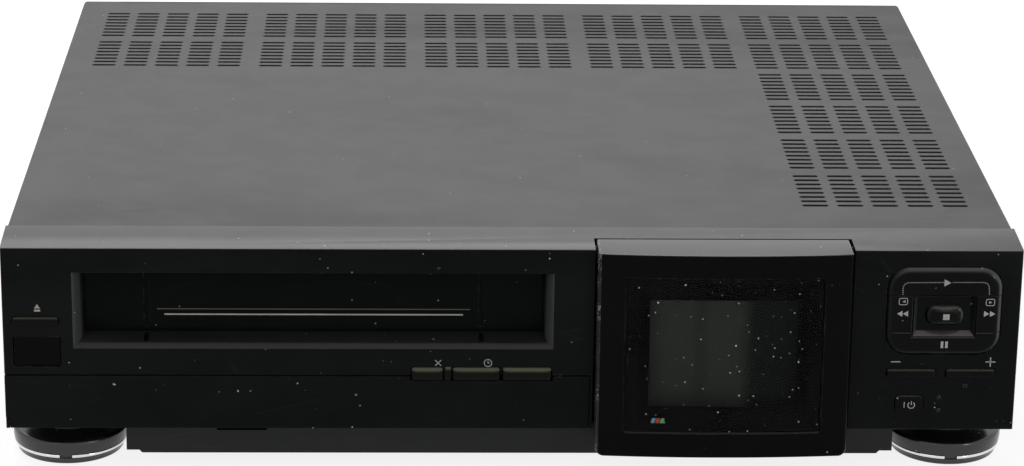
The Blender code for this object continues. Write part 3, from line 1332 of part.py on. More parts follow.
def build_posts():
    """Loading posts that carry the tape from the cassette round the drum, on straight tracks."""
    start, end, heading = post_track()
    for side, word in ((-1, "left"), (1, "right")):
        place = mirrored(start, side)
        angle = side * heading
        low = DECK_TOP + CLEAR
        bm = shape(turned_box(POST_SIZE, place, angle, (low, low + POST_SIZE[2])))
        post = make_part("loading_post_" + word, bm, "zinc", (*place, low))
        join(post, shape(rod((*place, 0), "Z", POST_RADIUS, (low + POST_SIZE[2] - BITE, DECK_TOP + POST_HEIGHT))),
             "post")
        join(post, shape(turned_box((POST_SLOT - 2 * CLEAR, POST_SIZE[1] / 2), place, angle,
                                    (DECK_HEIGHT - POST_TONGUE, low + BITE))), "tongue")


def build_heads():
    for name, x, y in (("audio_head", HEAD_X, HEAD_Y), ("erase_head", ERASE_X, ERASE_Y)):
        centre = (MECH_X + x, LOADED_BACK + y)
        width, depth, height = HEAD_SIZE
        low = DECK_TOP + CLEAR
        bm = shape(box((centre[0] - width / 2, centre[0] + width / 2),
                       (centre[1] - depth / 2, centre[1] + depth / 2), (low, low + height / 3)))
        head = make_part(name, bm, "steel")
        join(head, shape(rounded_box((centre[0] - width / 3, centre[0] + width / 3),
                                     (centre[1] - depth / 3, centre[1] + depth / 3),
                                     (low + height / 3 - BITE, low + height), "Z", depth / 4, 3)), "core")


def build_loading_motor():
    x, y = MECH_X + MOTOR_X, LOADED_BACK + MOTOR_Y
    z = DECK_TOP + MOTOR_STAND + MOTOR_RADIUS
    ends = (x - MOTOR_LENGTH / 2, x + MOTOR_LENGTH / 2)
    motor = make_part("loading_motor", shape(rod((0, y, z), "X", MOTOR_RADIUS, ends, MEDIUM)), "steel")
    tip = ends[1] + MOTOR_RADIUS
    join(motor, shape(rod((0, y, z), "X", MOTOR_RADIUS / 5, (ends[1] - BITE, tip))), "shaft")
    join(motor, shape(rod((0, y, z), "X", MOTOR_RADIUS / 3, (tip - MOTOR_RADIUS / 2, tip + BITE))), "pulley")
    half = MOTOR_RADIUS * 0.7
    join(motor, shape(box(grown(ends, -MOTOR_STAND), (y - half, y + half), (DECK_TOP + CLEAR, z))), "stand")


def basket_z():
    """Underside and inside of the basket's ledges, and inside and top of its roof."""
    floor = FLAP_Z[0] + BASKET_RISE
    roof = floor + BASKET_INNER_HEIGHT
    return floor - BASKET_SHEET, floor, roof, roof + BASKET_SHEET


def slide_pin_z():
    """Height of the basket's pins, which run down the slider's upright slots."""
    low, floor, roof, top = basket_z()
    return (floor + roof) / 2


def build_basket():
    """Cassette basket: two cheeks with inward ledges under a cut-out roof, and four side pins."""
    low, floor, roof, top = basket_z()
    y = (BASKET_FRONT, BASKET_FRONT + BASKET_LENGTH)
    outer = BASKET_INNER + BASKET_SHEET
    across = (MECH_X - outer, MECH_X + outer)
    basket = make_part("cassette_basket", shape(box(across, y, (low, top))), "zinc")
    inner = (MECH_X - BASKET_INNER, MECH_X + BASKET_INNER)
    cut(basket, shape(box(inner, grown(y, OVERRUN), (floor, roof))), "cassette_space")
    ledge = BASKET_INNER - BASKET_LEDGE
    cut(basket, shape(box((MECH_X - ledge, MECH_X + ledge), grown(y, OVERRUN), (low - OVERRUN, floor + OVERRUN))),
        "between_ledges")
    third = BASKET_LENGTH / 3
    cut(basket, shape(box((MECH_X - ledge, MECH_X + ledge), (y[0] - OVERRUN, y[0] + BASKET_CUTOUT),
                          (roof - OVERRUN, top + OVERRUN))), "roof_cutout")
    pins = []
    reach = slider_inner() + SLIDER_SHEET - BASKET_SHEET / 4
    for side in (-1, 1):
        ends = sorted((MECH_X + side * (outer - BITE), MECH_X + side * reach))
        pins += [rod((0, py, slide_pin_z()), "X", PIN_RADIUS, ends) for py in (y[0] + third / 2, y[1] - third / 2)]
    join(basket, shape(*pins), "side_pins")


def slider_pin_z():
    """Height of the slider's own pins in the guides' long slots."""
    return slide_pin_z() + 4 * PIN_RADIUS


def build_slider():
    """Slider: two plates with upright slots, tied by a bar behind the basket."""
    y = (BASKET_FRONT, BASKET_FRONT + BASKET_LENGTH)
    inner, outer = slider_inner(), slider_inner() + SLIDER_SHEET
    pin = slide_pin_z()
    low = pin - BASKET_TRAVEL_DOWN - 3 * PIN_RADIUS
    top = basket_z()[3]
    bar = (y[1] + MECH_GAP, y[1] + MECH_GAP + SLIDER_BAR)
    bm = shape(box((MECH_X - outer, MECH_X + outer), (y[0], bar[1]), (low, top)))
    slider = make_part("basket_slider", bm, "steel")
    cut(slider, shape(box((MECH_X - inner, MECH_X + inner), (y[0] - OVERRUN, bar[0]),
                          (low - OVERRUN, top + OVERRUN))), "between_plates")
    cut(slider, shape(box((MECH_X - inner, MECH_X + inner), (bar[0] - OVERRUN, bar[1] + OVERRUN),
                          (low - OVERRUN, top - 2 * SLIDER_BAR))), "under_bar")
    third = BASKET_LENGTH / 3
    half = PIN_RADIUS + CLEAR
    slots = [box((MECH_X - outer - OVERRUN, MECH_X + outer + OVERRUN), (py - half, py + half),
                 (pin - BASKET_TRAVEL_DOWN - half, pin + half)) for py in (y[0] + third / 2, y[1] - third / 2)]
    cut(slider, shape(*slots), "upright_slots")
    reach = guide_inner() + GUIDE_SHEET - CLEAR
    pins = []
    for side in (-1, 1):
        ends = sorted((MECH_X + side * (outer - BITE), MECH_X + side * reach))
        pins += [rod((0, py, slider_pin_z()), "X", PIN_RADIUS, ends) for py in (y[0] + third, y[1] - third)]
    join(slider, shape(*pins), "side_pins")


def build_guides():
    """Guide plates that stand on the deck; the slider's pins run in their long slots."""
    inner = guide_inner()
    y = (DECK_FRONT + GUIDE_SHEET, LOADED_BACK + GUIDE_FOOT)
    third = BASKET_LENGTH / 3
    run = (BASKET_FRONT + third - PIN_RADIUS - CLEAR,
           BASKET_FRONT + BASKET_LENGTH - third + BASKET_TRAVEL_IN + PIN_RADIUS + CLEAR)
    z = (DECK_TOP + CLEAR, basket_z()[3])
    pin = slider_pin_z()
    half = PIN_RADIUS + CLEAR
    for side, word in ((-1, "left"), (1, "right")):
        plate_x = sorted((MECH_X + side * inner, MECH_X + side * (inner + GUIDE_SHEET)))
        guide = make_part("basket_guide_" + word, shape(box(plate_x, y, z)), "zinc")
        foot_x = sorted((MECH_X + side * (inner + GUIDE_SHEET - BITE), MECH_X + side * deck_half()))
        join(guide, shape(*[box(foot_x, (fy, fy + GUIDE_FOOT), (z[0], z[0] + GUIDE_SHEET))
                            for fy in (y[0], y[1] - GUIDE_FOOT)]), "feet")
        cut(guide, shape(box(grown(plate_x, OVERRUN), run, (pin - half, pin + half))), "long_slot")


# Electrics

def build_boards():
    x = board_x()
    z = TUB_FLOOR + BOARD_POST + CLEAR
    make_part("main_board", shape(box(x, board_y(), (z, z + BOARD_SHEET))), "board_green")
    fx, fz = front_board_box()
    make_part("key_board", shape(box(fx, (FRONT_BOARD_Y, FRONT_BOARD_Y + BOARD_SHEET), fz)), "board_green")


def build_transformer():
    """Mains transformer: a laminated core round a wound bobbin, on the pan's floor."""
    middle = SIDE - CORE_INSET
    back = DEPTH - CORE_BACK
    width, depth, height = CORE_SIZE
    low = TUB_FLOOR + CLEAR
    core = make_part("power_transformer",
                     shape(box((middle - width / 2, middle + width / 2), (back - depth / 2, back + depth / 2),
                               (low, low + height))), "steel")
    bx, by, bz = BOBBIN_SIZE
    rise = low + (height - bz) / 2
    join(core, shape(rounded_box((middle - bx / 2, middle + bx / 2), (back - by / 2, back + by / 2),
                                 (rise, rise + bz), "X", bz / 6, 3)), "bobbin")


def build_speaker():
    """Loudspeaker that stands on its magnet and faces the right-hand vents."""
    width, length = SPEAKER_SIZE
    middle = SIDE - SHELF_WIDTH / 2
    x = (middle - width / 2, middle + width / 2)
    y = (SPEAKER_FRONT, SPEAKER_FRONT + length)
    low = SHELF_TOP + CLEAR
    top = low + SPEAKER_HEIGHT
    centre = (middle, sum(y) / 2, 0)
    speaker = make_part("loudspeaker", shape(rounded_box(x, y, (top - SPEAKER_RIM, top), "Z", width / 4)),
                        "steel")
    join(speaker, shape(rod(centre, "Z", SPEAKER_MAGNET, (low, low + SPEAKER_MAGNET_HEIGHT), MEDIUM)), "magnet")
    def basket(bm):
        span = (low + SPEAKER_MAGNET_HEIGHT - BITE, top - SPEAKER_RIM + BITE)
        place = Matrix.Translation((middle, centre[1], sum(span) / 2))
        bmesh.ops.create_cone(bm, cap_ends=True, segments=MEDIUM, radius1=SPEAKER_MAGNET * 0.9,
                              radius2=width / 2 - SPEAKER_RIM, depth=span[1] - span[0], matrix=place)
    join(speaker, shape(basket), "basket")


build_pan()
build_feet()
build_cover()
build_screws()
build_bezel()
build_flap()
build_door()
build_buttons()
build_pad()
build_front_trim()
build_screen()
build_rear_panel()
build_sockets()
build_deck()
build_reels()
build_drum()
build_capstan()
build_pinch()
build_posts()
build_heads()
build_loading_motor()
build_basket()
build_slider()
build_guides()
build_boards()
build_transformer()
build_speaker()
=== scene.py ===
# Looks of a front-loading video cassette recorder with a small flip-up picture screen.
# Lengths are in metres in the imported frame: x to the right, y to the back, z up from the floor.
import math

import bmesh
import bpy
import numpy as np
from mathutils import Matrix, Vector


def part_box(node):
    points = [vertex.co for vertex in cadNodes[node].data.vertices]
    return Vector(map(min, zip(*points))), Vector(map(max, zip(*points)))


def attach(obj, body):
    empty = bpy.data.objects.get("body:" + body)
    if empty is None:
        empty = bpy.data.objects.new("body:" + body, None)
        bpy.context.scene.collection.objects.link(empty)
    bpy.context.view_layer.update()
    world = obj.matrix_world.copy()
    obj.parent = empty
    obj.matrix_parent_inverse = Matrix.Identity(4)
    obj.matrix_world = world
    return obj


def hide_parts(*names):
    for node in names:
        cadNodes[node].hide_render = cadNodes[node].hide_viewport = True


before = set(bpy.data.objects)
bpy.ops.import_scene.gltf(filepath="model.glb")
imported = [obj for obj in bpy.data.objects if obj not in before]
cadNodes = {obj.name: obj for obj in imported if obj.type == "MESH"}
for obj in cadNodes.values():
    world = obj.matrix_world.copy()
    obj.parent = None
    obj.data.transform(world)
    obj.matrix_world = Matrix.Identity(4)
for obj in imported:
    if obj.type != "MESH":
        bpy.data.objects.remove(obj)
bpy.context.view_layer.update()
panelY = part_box("drop_down_door")[0].y      # plane of the front panel
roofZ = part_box("front_bezel")[1].z          # top of the front panel
print("packed model loaded")


# Shader building

def feed(tree, node, values):
    # a value goes to the input of that name or number: linked if it is an output, set if it is a number
    for key, value in values.items():
        if isinstance(value, bpy.types.NodeSocket):
            tree.links.new(value, node.inputs[key])
        else:
            node.inputs[key].default_value = value


def addNode(tree, kind, place, values=None, **settings):
    node = tree.nodes.new("ShaderNode" + kind)
    node.location = place
    for key, value in settings.items():
        setattr(node, key, value)
    feed(tree, node, values or {})
    return node


def newGroup(name, inputs, outputs):
    tree = bpy.data.node_groups.new(name, "ShaderNodeTree")
    for label, value in inputs.items():
        socket = tree.interface.new_socket(label, in_out="INPUT", socket_type="NodeSocketFloat")
        socket.default_value = value
    for label, kind in outputs.items():
        tree.interface.new_socket(label, in_out="OUTPUT", socket_type="NodeSocket" + kind)
    start, end = tree.nodes.new("NodeGroupInput"), tree.nodes.new("NodeGroupOutput")
    start.location, end.location = (-900, 0), (900, 0)
    return tree, start.outputs, end


def newMaterial(name):
    made = bpy.data.materials.new(name)
    made.use_nodes = True
    return made, made.node_tree, made.node_tree.nodes["Principled BSDF"]


def mathNode(tree, operation, place, *values, clamp=False):
    values = dict(enumerate(values))
    return addNode(tree, "Math", place, values, operation=operation, use_clamp=clamp).outputs[0]


def product(tree, place, first, *others):
    # values multiplied one after another
    for value in others:
        first = mathNode(tree, "MULTIPLY", place, first, value)
    return first


def ramp(tree, place, value, low, high, outLow=0.0, outHigh=1.0):
    # smooth step from one level to another
    levels = {"Value": value, "From Min": low, "From Max": high, "To Min": outLow, "To Max": outHigh}
    return addNode(tree, "MapRange", place, levels, interpolation_type="SMOOTHSTEP").outputs["Result"]


def noise(tree, place, vector, scale, detail, roughness=0.5, distortion=0.0):
    values = {"Vector": vector, "Scale": scale, "Detail": detail, "Roughness": roughness,
              "Distortion": distortion}
    return addNode(tree, "TexNoise", place, values).outputs


def ownPlace(tree, place):
    # the piece's own coordinates
    return addNode(tree, "TexCoord", place).outputs["Object"]


def axes(tree, place, vector):
    return addNode(tree, "SeparateXYZ", place, {0: vector}).outputs


def mixColour(tree, place, factor, *colours):
    first, second = [(*colour, 1.0) if isinstance(colour, tuple) else colour for colour in colours]
    return addNode(tree, "Mix", place, {0: factor, 6: first, 7: second}, data_type="RGBA").outputs[2]


def mixShader(tree, place, *values):
    return addNode(tree, "MixShader", place, dict(enumerate(values))).outputs[0]


def buildGrain():
    # fine spark-eroded mould texture: two noises, the small one for height and the large one for tone
    tree, given, end = newGroup("mouldGrain", {"Scale": 3000.0, "Tone Scale": 45.0},
                                {"Height": "Float", "Tone": "Float"})
    place = ownPlace(tree, (-900, 300))
    fine = noise(tree, (-500, 200), place, given["Scale"], 3.0, 0.6)["Fac"]
    broad = noise(tree, (-500, -200), place, given["Tone Scale"], 4.0, 0.55, 0.4)["Fac"]
    feed(tree, end, {"Height": fine, "Tone": ramp(tree, (200, -200), broad, 0.3, 0.7)})
    return tree


def laidFlat(tree):
    # two coordinates that stay independent on front, side and roof alike: x plus a share of y, and z plus
    # another share of y
    shareAcross, shareUp = 0.37, 0.61
    place = ownPlace(tree, (-1500, 300))
    x, y, z = axes(tree, (-1350, 300), place)
    across = mathNode(tree, "ADD", (-1050, 350), x, product(tree, (-1200, 350), y, shareAcross))
    upward = mathNode(tree, "ADD", (-1050, 200), z, product(tree, (-1200, 200), y, shareUp))
    return place, addNode(tree, "CombineXYZ", (-900, 300), {"X": across, "Y": upward}).outputs[0]


def buildDust():
    # pale specks: a speck fills the middle of a random share of the cells of a flat Voronoi pattern,
    # with its outline bent by noise and a random strength
    tree, given, end = newGroup("dustSpecks", {"Scale": 300.0, "Share": 0.04, "Size": 0.10, "Bend": 0.00025},
                                {"Mask": "Float"})
    place, flat = laidFlat(tree)
    warp = noise(tree, (-700, 100), place, 900.0, 1.0)["Color"]
    bent = addNode(tree, "VectorMath", (-500, 200), {0: warp, 1: given["Bend"], 2: flat},
                   operation="MULTIPLY_ADD").outputs[0]
    cells = addNode(tree, "TexVoronoi", (-300, 200),
                    {"Vector": bent, "Scale": given["Scale"], "Randomness": 1.0},
                    feature="F1", voronoi_dimensions="2D").outputs
    red, green, blue = addNode(tree, "SeparateColor", (-100, 0), {0: cells["Color"]}).outputs
    chosen = mathNode(tree, "LESS_THAN", (100, 0), red, given["Share"])
    reach = product(tree, (100, -200), ramp(tree, (-50, -250), green, 0.0, 1.0, 0.35, 1.0), given["Size"])
    near = mathNode(tree, "LESS_THAN", (300, 200), cells["Distance"], reach)
    strength = ramp(tree, (300, -100), blue, 0.3, 1.0, 0.10, 1.0)
    feed(tree, end, {"Mask": product(tree, (500, 100), chosen, near, strength)})
    return tree


def buildSmudge():
    # wiped film and finger marks: broad noise, stretched a little along x, pushed to a soft mask
    tree, given, end = newGroup("wipedFilm", {"Scale": 9.0, "Low": 0.45, "High": 0.75}, {"Mask": "Float"})
    turn = addNode(tree, "Mapping", (-700, 200), {"Vector": ownPlace(tree, (-900, 300)),
                                                  "Rotation": (0.1, 0.2, 0.35), "Scale": (0.5, 1.4, 1.4)})
    cloud = noise(tree, (-450, 200), turn.outputs[0], given["Scale"], 6.0, 0.62, 0.8)["Fac"]
    feed(tree, end, {"Mask": ramp(tree, (0, 200), cloud, given["Low"], given["High"])})
    return tree


def buildScratches():
    # hairline marks: borders of long thin flat Voronoi cells, broken up by noise
    tree, given, end = newGroup("hairMarks", {"Scale": 60.0, "Width": 0.010, "Share": 0.58}, {"Mask": "Float"})
    place, flat = laidFlat(tree)
    turn = addNode(tree, "Mapping", (-700, 200),
                   {"Vector": flat, "Rotation": (0.0, 0.0, 0.5), "Scale": (0.16, 1.0, 1.0)})
    cells = addNode(tree, "TexVoronoi", (-450, 200),
                    {"Vector": turn.outputs[0], "Scale": given["Scale"], "Randomness": 1.0},
                    feature="DISTANCE_TO_EDGE", voronoi_dimensions="2D").outputs
    patch = noise(tree, (-450, -200), place, 38.0, 3.0)["Fac"]
    thin = mathNode(tree, "LESS_THAN", (0, 200), cells["Distance"], given["Width"])
    held = mathNode(tree, "GREATER_THAN", (0, -200), patch, given["Share"])
    feed(tree, end, {"Mask": product(tree, (400, 0), thin, held)})
    return tree


def buildEdges():
    # softened edges: normals blended over a small radius, and a mask where they differ from the face
    tree, given, end = newGroup("softEdges", {"Radius": 0.0004, "Noise Scale": 420.0, "Amount": 0.5},
                                {"Normal": "Vector", "Mask": "Float"})
    soft = addNode(tree, "Bevel", (-600, 200), {"Radius": given["Radius"]}, samples=4).outputs[0]
    face = addNode(tree, "NewGeometry", (-600, -100)).outputs["Normal"]
    alike = addNode(tree, "VectorMath", (-350, 100), {0: soft, 1: face}, operation="DOT_PRODUCT")
    bent = ramp(tree, (-100, 100), alike.outputs["Value"], 0.985, 0.86)
    rub = noise(tree, (-350, -300), ownPlace(tree, (-900, -300)), given["Noise Scale"], 5.0, 0.7)["Fac"]
    worn = ramp(tree, (-100, -300), rub, 0.42, 0.66)
    feed(tree, end, {"Normal": soft, "Mask": product(tree, (200, 0), bent, worn, given["Amount"])})
    return tree


def buildRolled():
    # rolled or turned metal: noise drawn out along one direction
    tree, given, end = newGroup("rolledMetal", {"Scale": 400.0, "Stretch": 0.03},
                                {"Height": "Float", "Tone": "Float"})
    x, y, z = axes(tree, (-700, 300), ownPlace(tree, (-900, 300)))
    drawn = product(tree, (-500, 200), y, given["Stretch"])
    joined = addNode(tree, "CombineXYZ", (-300, 300), {"X": x, "Y": drawn, "Z": z}).outputs[0]
    lines = noise(tree, (-100, 200), joined, given["Scale"], 4.0, 0.6)["Fac"]
    feed(tree, end, {"Height": lines, "Tone": ramp(tree, (300, -100), lines, 0.3, 0.7)})
    return tree


def buildTurned():
    # three masks from the surface's own direction: rims that turn away from the panel's plane but don't
    # look straight sideways, which hands polish; faces that look up above a height, which get settled dust and
    # a painted sheen standing in for light from above; and faces turned part of the way to a side, which get a
    # painted highlight
    tree, given, end = newGroup("turnedFaces", {"Low": 0.90, "High": 0.985, "Under": 0.40, "Left": 1.0,
                                                "Patch Scale": 70.0, "From Height": -1.0, "Below": 0.0,
                                                "Up Low": 0.45, "Up High": 0.90},
                                {"Rim": "Float", "Dust And Sheen": "Float", "Side": "Float"})
    place = addNode(tree, "TexCoord", (-900, 300)).outputs
    x, y, z = axes(tree, (-700, 300), place["Normal"])
    facing, width = [mathNode(tree, "ABSOLUTE", (-500, 300), axis) for axis in (y, x)]
    turned = ramp(tree, (-300, 300), facing, given["Low"], given["High"], 1.0, 0.0)
    sideways = ramp(tree, (-300, 550), width, 0.80, 0.94, 1.0, 0.0)
    under = ramp(tree, (-300, 800), z, -0.30, 0.15, given["Under"])
    # faces looking left keep only the share Left of the polish and of the painted side highlight
    left = ramp(tree, (-300, 1050), x, -0.45, 0.0, given["Left"])
    # painted highlight mask: faces turned part of the way to a side, as if lit from there
    side = mathNode(tree, "SUBTRACT", (-50, 1250), ramp(tree, (-300, 1300), width, 0.30, 0.45),
                    ramp(tree, (-300, 1500), width, 0.90, 0.97))
    patch = noise(tree, (-500, -200), place["Object"], given["Patch Scale"], 6.0, 0.68)["Fac"]
    # mask for settled dust and painted sheen: up-facing faces above a height, evened by noise
    up = ramp(tree, (-300, 0), z, given["Up Low"], given["Up High"])
    uneven = ramp(tree, (-300, -250), patch, 0.30, 0.70, 0.90, 1.0)
    height = axes(tree, (-500, -500), place["Object"])["Z"]
    above = mathNode(tree, "GREATER_THAN", (-300, -500), height, given["From Height"])
    above = mathNode(tree, "MAXIMUM", (-150, -500), above, given["Below"])
    feed(tree, end, {"Rim": product(tree, (200, 500), turned, sideways, left, under),
                     "Dust And Sheen": product(tree, (200, -100), up, uneven, above),
                     "Side": product(tree, (200, 1250), side, left)})
    return tree


def buildFlecks():
    # chipped flecks in a narrow upright band round one x: fine noise above a level, gathered by broad noise
    tree, given, end = newGroup("edgeFlecks", {"At": 0.0, "Reach": 0.002}, {"Mask": "Float"})
    place = ownPlace(tree, (-900, 300))
    x = axes(tree, (-700, 300), place)["X"]
    apart = mathNode(tree, "ABSOLUTE", (-350, 300), mathNode(tree, "SUBTRACT", (-500, 300), x, given["At"]))
    near = mathNode(tree, "LESS_THAN", (-150, 300), apart, given["Reach"])
    fine = noise(tree, (-500, 0), place, 900.0, 4.0, 0.75)["Fac"]
    broad = noise(tree, (-500, -250), place, 85.0, 3.0)["Fac"]
    chips = product(tree, (0, 0), ramp(tree, (-200, 0), fine, 0.52, 0.60),
                    ramp(tree, (-200, -250), broad, 0.48, 0.60))
    rubbed = mathNode(tree, "MAXIMUM", (150, 0), chips, ramp(tree, (-200, -500), fine, 0.30, 0.60, 0.02, 0.10))
    feed(tree, end, {"Mask": product(tree, (300, 200), near, rubbed)})
    return tree


def buildKeepOut():
    # 0 inside a rectangle in x and z and 1 outside it
    tree, given, end = newGroup("outsideOf", {"Centre X": 0.0, "Centre Z": 0.0, "Half X": 0.0, "Half Z": 0.0},
                                {"Mask": "Float"})
    split = axes(tree, (-700, 0), ownPlace(tree, (-900, 0)))
    beyond = []
    for row, axis in enumerate("XZ"):
        apart = mathNode(tree, "SUBTRACT", (-450, -300 * row), split[axis], given["Centre " + axis])
        apart = mathNode(tree, "ABSOLUTE", (-250, -300 * row), apart)
        beyond.append(mathNode(tree, "GREATER_THAN", (-50, -300 * row), apart, given["Half " + axis]))
    feed(tree, end, {"Mask": mathNode(tree, "MAXIMUM", (300, 0), *beyond)})
    return tree


effects = {"grain": buildGrain(), "dust": buildDust(), "film": buildSmudge(), "hair": buildScratches(),
           "edges": buildEdges(), "rolled": buildRolled(), "turned": buildTurned(), "flecks": buildFlecks(),
           "outside": buildKeepOut()}


def placeGroup(tree, effect, place, values):
    return addNode(tree, "Group", place, values, node_tree=effects[effect]).outputs


# what film and specks add to the roughness, and the scuffs' strength and pattern
layers = {"filmRough": 0.12, "speckRough": 0.3, "scuffStrength": 0.8,
          "scuffPattern": {"Scale": 58.0, "Size": 0.036, "Bend": 0.0016}}


def finish(name, tones, roughness, metallic=0.0, specular=0.5, coatRoughness=0.05, grain=(2600.0, 0.000006),
           rolled=None, edge=0.0004, wear=0.0, wearColour=(0.2, 0.2, 0.2), dust=0.0,
           dustColour=(0.50, 0.50, 0.47), film=0.0, filmColour=(0.12, 0.12, 0.115), filmScale=9.0,
           hair=0.0, hairScale=60.0, roughSpread=0.08, polish=0.0, dustAndSheen=0.0,
           dustAndSheenColour=(0.20, 0.20, 0.195), dustAndSheenFrom=-1.0, dustAndSheenBelow=0.0, scuff=0.0,
           up=(0.45, 0.90), rim=(0.90, 0.985), under=0.4, left=1.0, side=None, flecks=None,
           plainInside=None):
    # one finish: base tone with variation, then film, settled dust with a painted sheen on upward faces, a
    # painted highlight on faces turned to a side, worn edges, hair marks, specks and scuffs laid over it;
    # polished rims get a clear coat, except inside the rectangle plainInside
    made, tree, shader = newMaterial(name)
    shader.location = (1400, 0)
    tree.nodes["Material Output"].location = (1750, 0)
    if rolled:
        scale, stretch, height = rolled
        texture = placeGroup(tree, "rolled", (-600, 200), {"Scale": scale, "Stretch": stretch})
    else:
        scale, height = grain
        texture = placeGroup(tree, "grain", (-600, 200), {"Scale": scale})
    tone = mixColour(tree, (-300, 200), texture["Tone"], *tones)
    rough = ramp(tree, (-300, -100), texture["Tone"], 0.0, 1.0, roughness - roughSpread / 2,
                 roughness + roughSpread / 2)
    if film:
        veil = placeGroup(tree, "film", (-300, 500), {"Scale": filmScale})["Mask"]
        tone = mixColour(tree, (100, 200), product(tree, (-50, 500), veil, film), tone, filmColour)
        rough = mathNode(tree, "ADD", (100, -100), rough, product(tree, (-50, -250), veil, layers["filmRough"]))
    if polish or dustAndSheen:
        turned = placeGroup(tree, "turned", (-600, 700),
                            {"Low": rim[0], "High": rim[1], "Under": under, "Left": left,
                             "From Height": dustAndSheenFrom, "Below": dustAndSheenBelow, "Up Low": up[0],
                             "Up High": up[1]})
    # upward faces: settled dust and a painted sheen standing in for light from above, both mixed into the base
    # colour
    if dustAndSheen:
        share = product(tree, (0, 700), turned["Dust And Sheen"], dustAndSheen)
        tone = mixColour(tree, (200, 350), share, tone, dustAndSheenColour)
    # painted highlight: faces turned part of the way to a side get a lighter colour, as if lit from that side
    if side:
        tone = mixColour(tree, (250, 550), turned["Side"], tone, side)
    if polish:
        gloss = product(tree, (0, 850), turned["Rim"], polish)
        if plainInside:
            corners = dict(zip(("Centre X", "Centre Z", "Half X", "Half Z"), plainInside))
            gloss = product(tree, (250, 900), gloss, placeGroup(tree, "outside", (0, 1050), corners)["Mask"])
        feed(tree, shader, {"Coat Weight": gloss})
    edges = placeGroup(tree, "edges", (-600, -400), {"Radius": edge, "Amount": wear})
    if wear:
        tone = mixColour(tree, (350, 200), edges["Mask"], tone, wearColour)
    if hair:
        marks = placeGroup(tree, "hair", (350, 500), {"Scale": hairScale})["Mask"]
        tone = mixColour(tree, (600, 200), product(tree, (550, 500), marks, hair), tone, wearColour)
    if dust:
        specks = placeGroup(tree, "dust", (600, 500), {"Share": dust})["Mask"]
        tone = mixColour(tree, (850, 200), specks, tone, dustColour)
        rough = mathNode(tree, "ADD", (850, -100), rough,
                         product(tree, (800, -250), specks, layers["speckRough"]), clamp=True)
    if scuff:
        marks = placeGroup(tree, "dust", (850, 700), {"Share": scuff, **layers["scuffPattern"]})["Mask"]
        share = product(tree, (1000, 700), marks, layers["scuffStrength"])
        tone = mixColour(tree, (1050, 400), share, tone, dustColour)
    if flecks:
        chips = placeGroup(tree, "flecks", (850, 950), {"At": flecks[0], "Reach": flecks[1]})["Mask"]
        tone = mixColour(tree, (1200, 500), chips, tone, dustColour)
    bump = addNode(tree, "Bump", (1100, -300), {"Strength": 1.0, "Distance": height,
                                                "Height": texture["Height"], "Normal": edges["Normal"]})
    feed(tree, shader, {"Base Color": tone, "Roughness": rough, "Normal": bump.outputs["Normal"],
                        "Specular IOR Level": specular, "Metallic": metallic,
                        "Coat Roughness": coatRoughness})
    return made


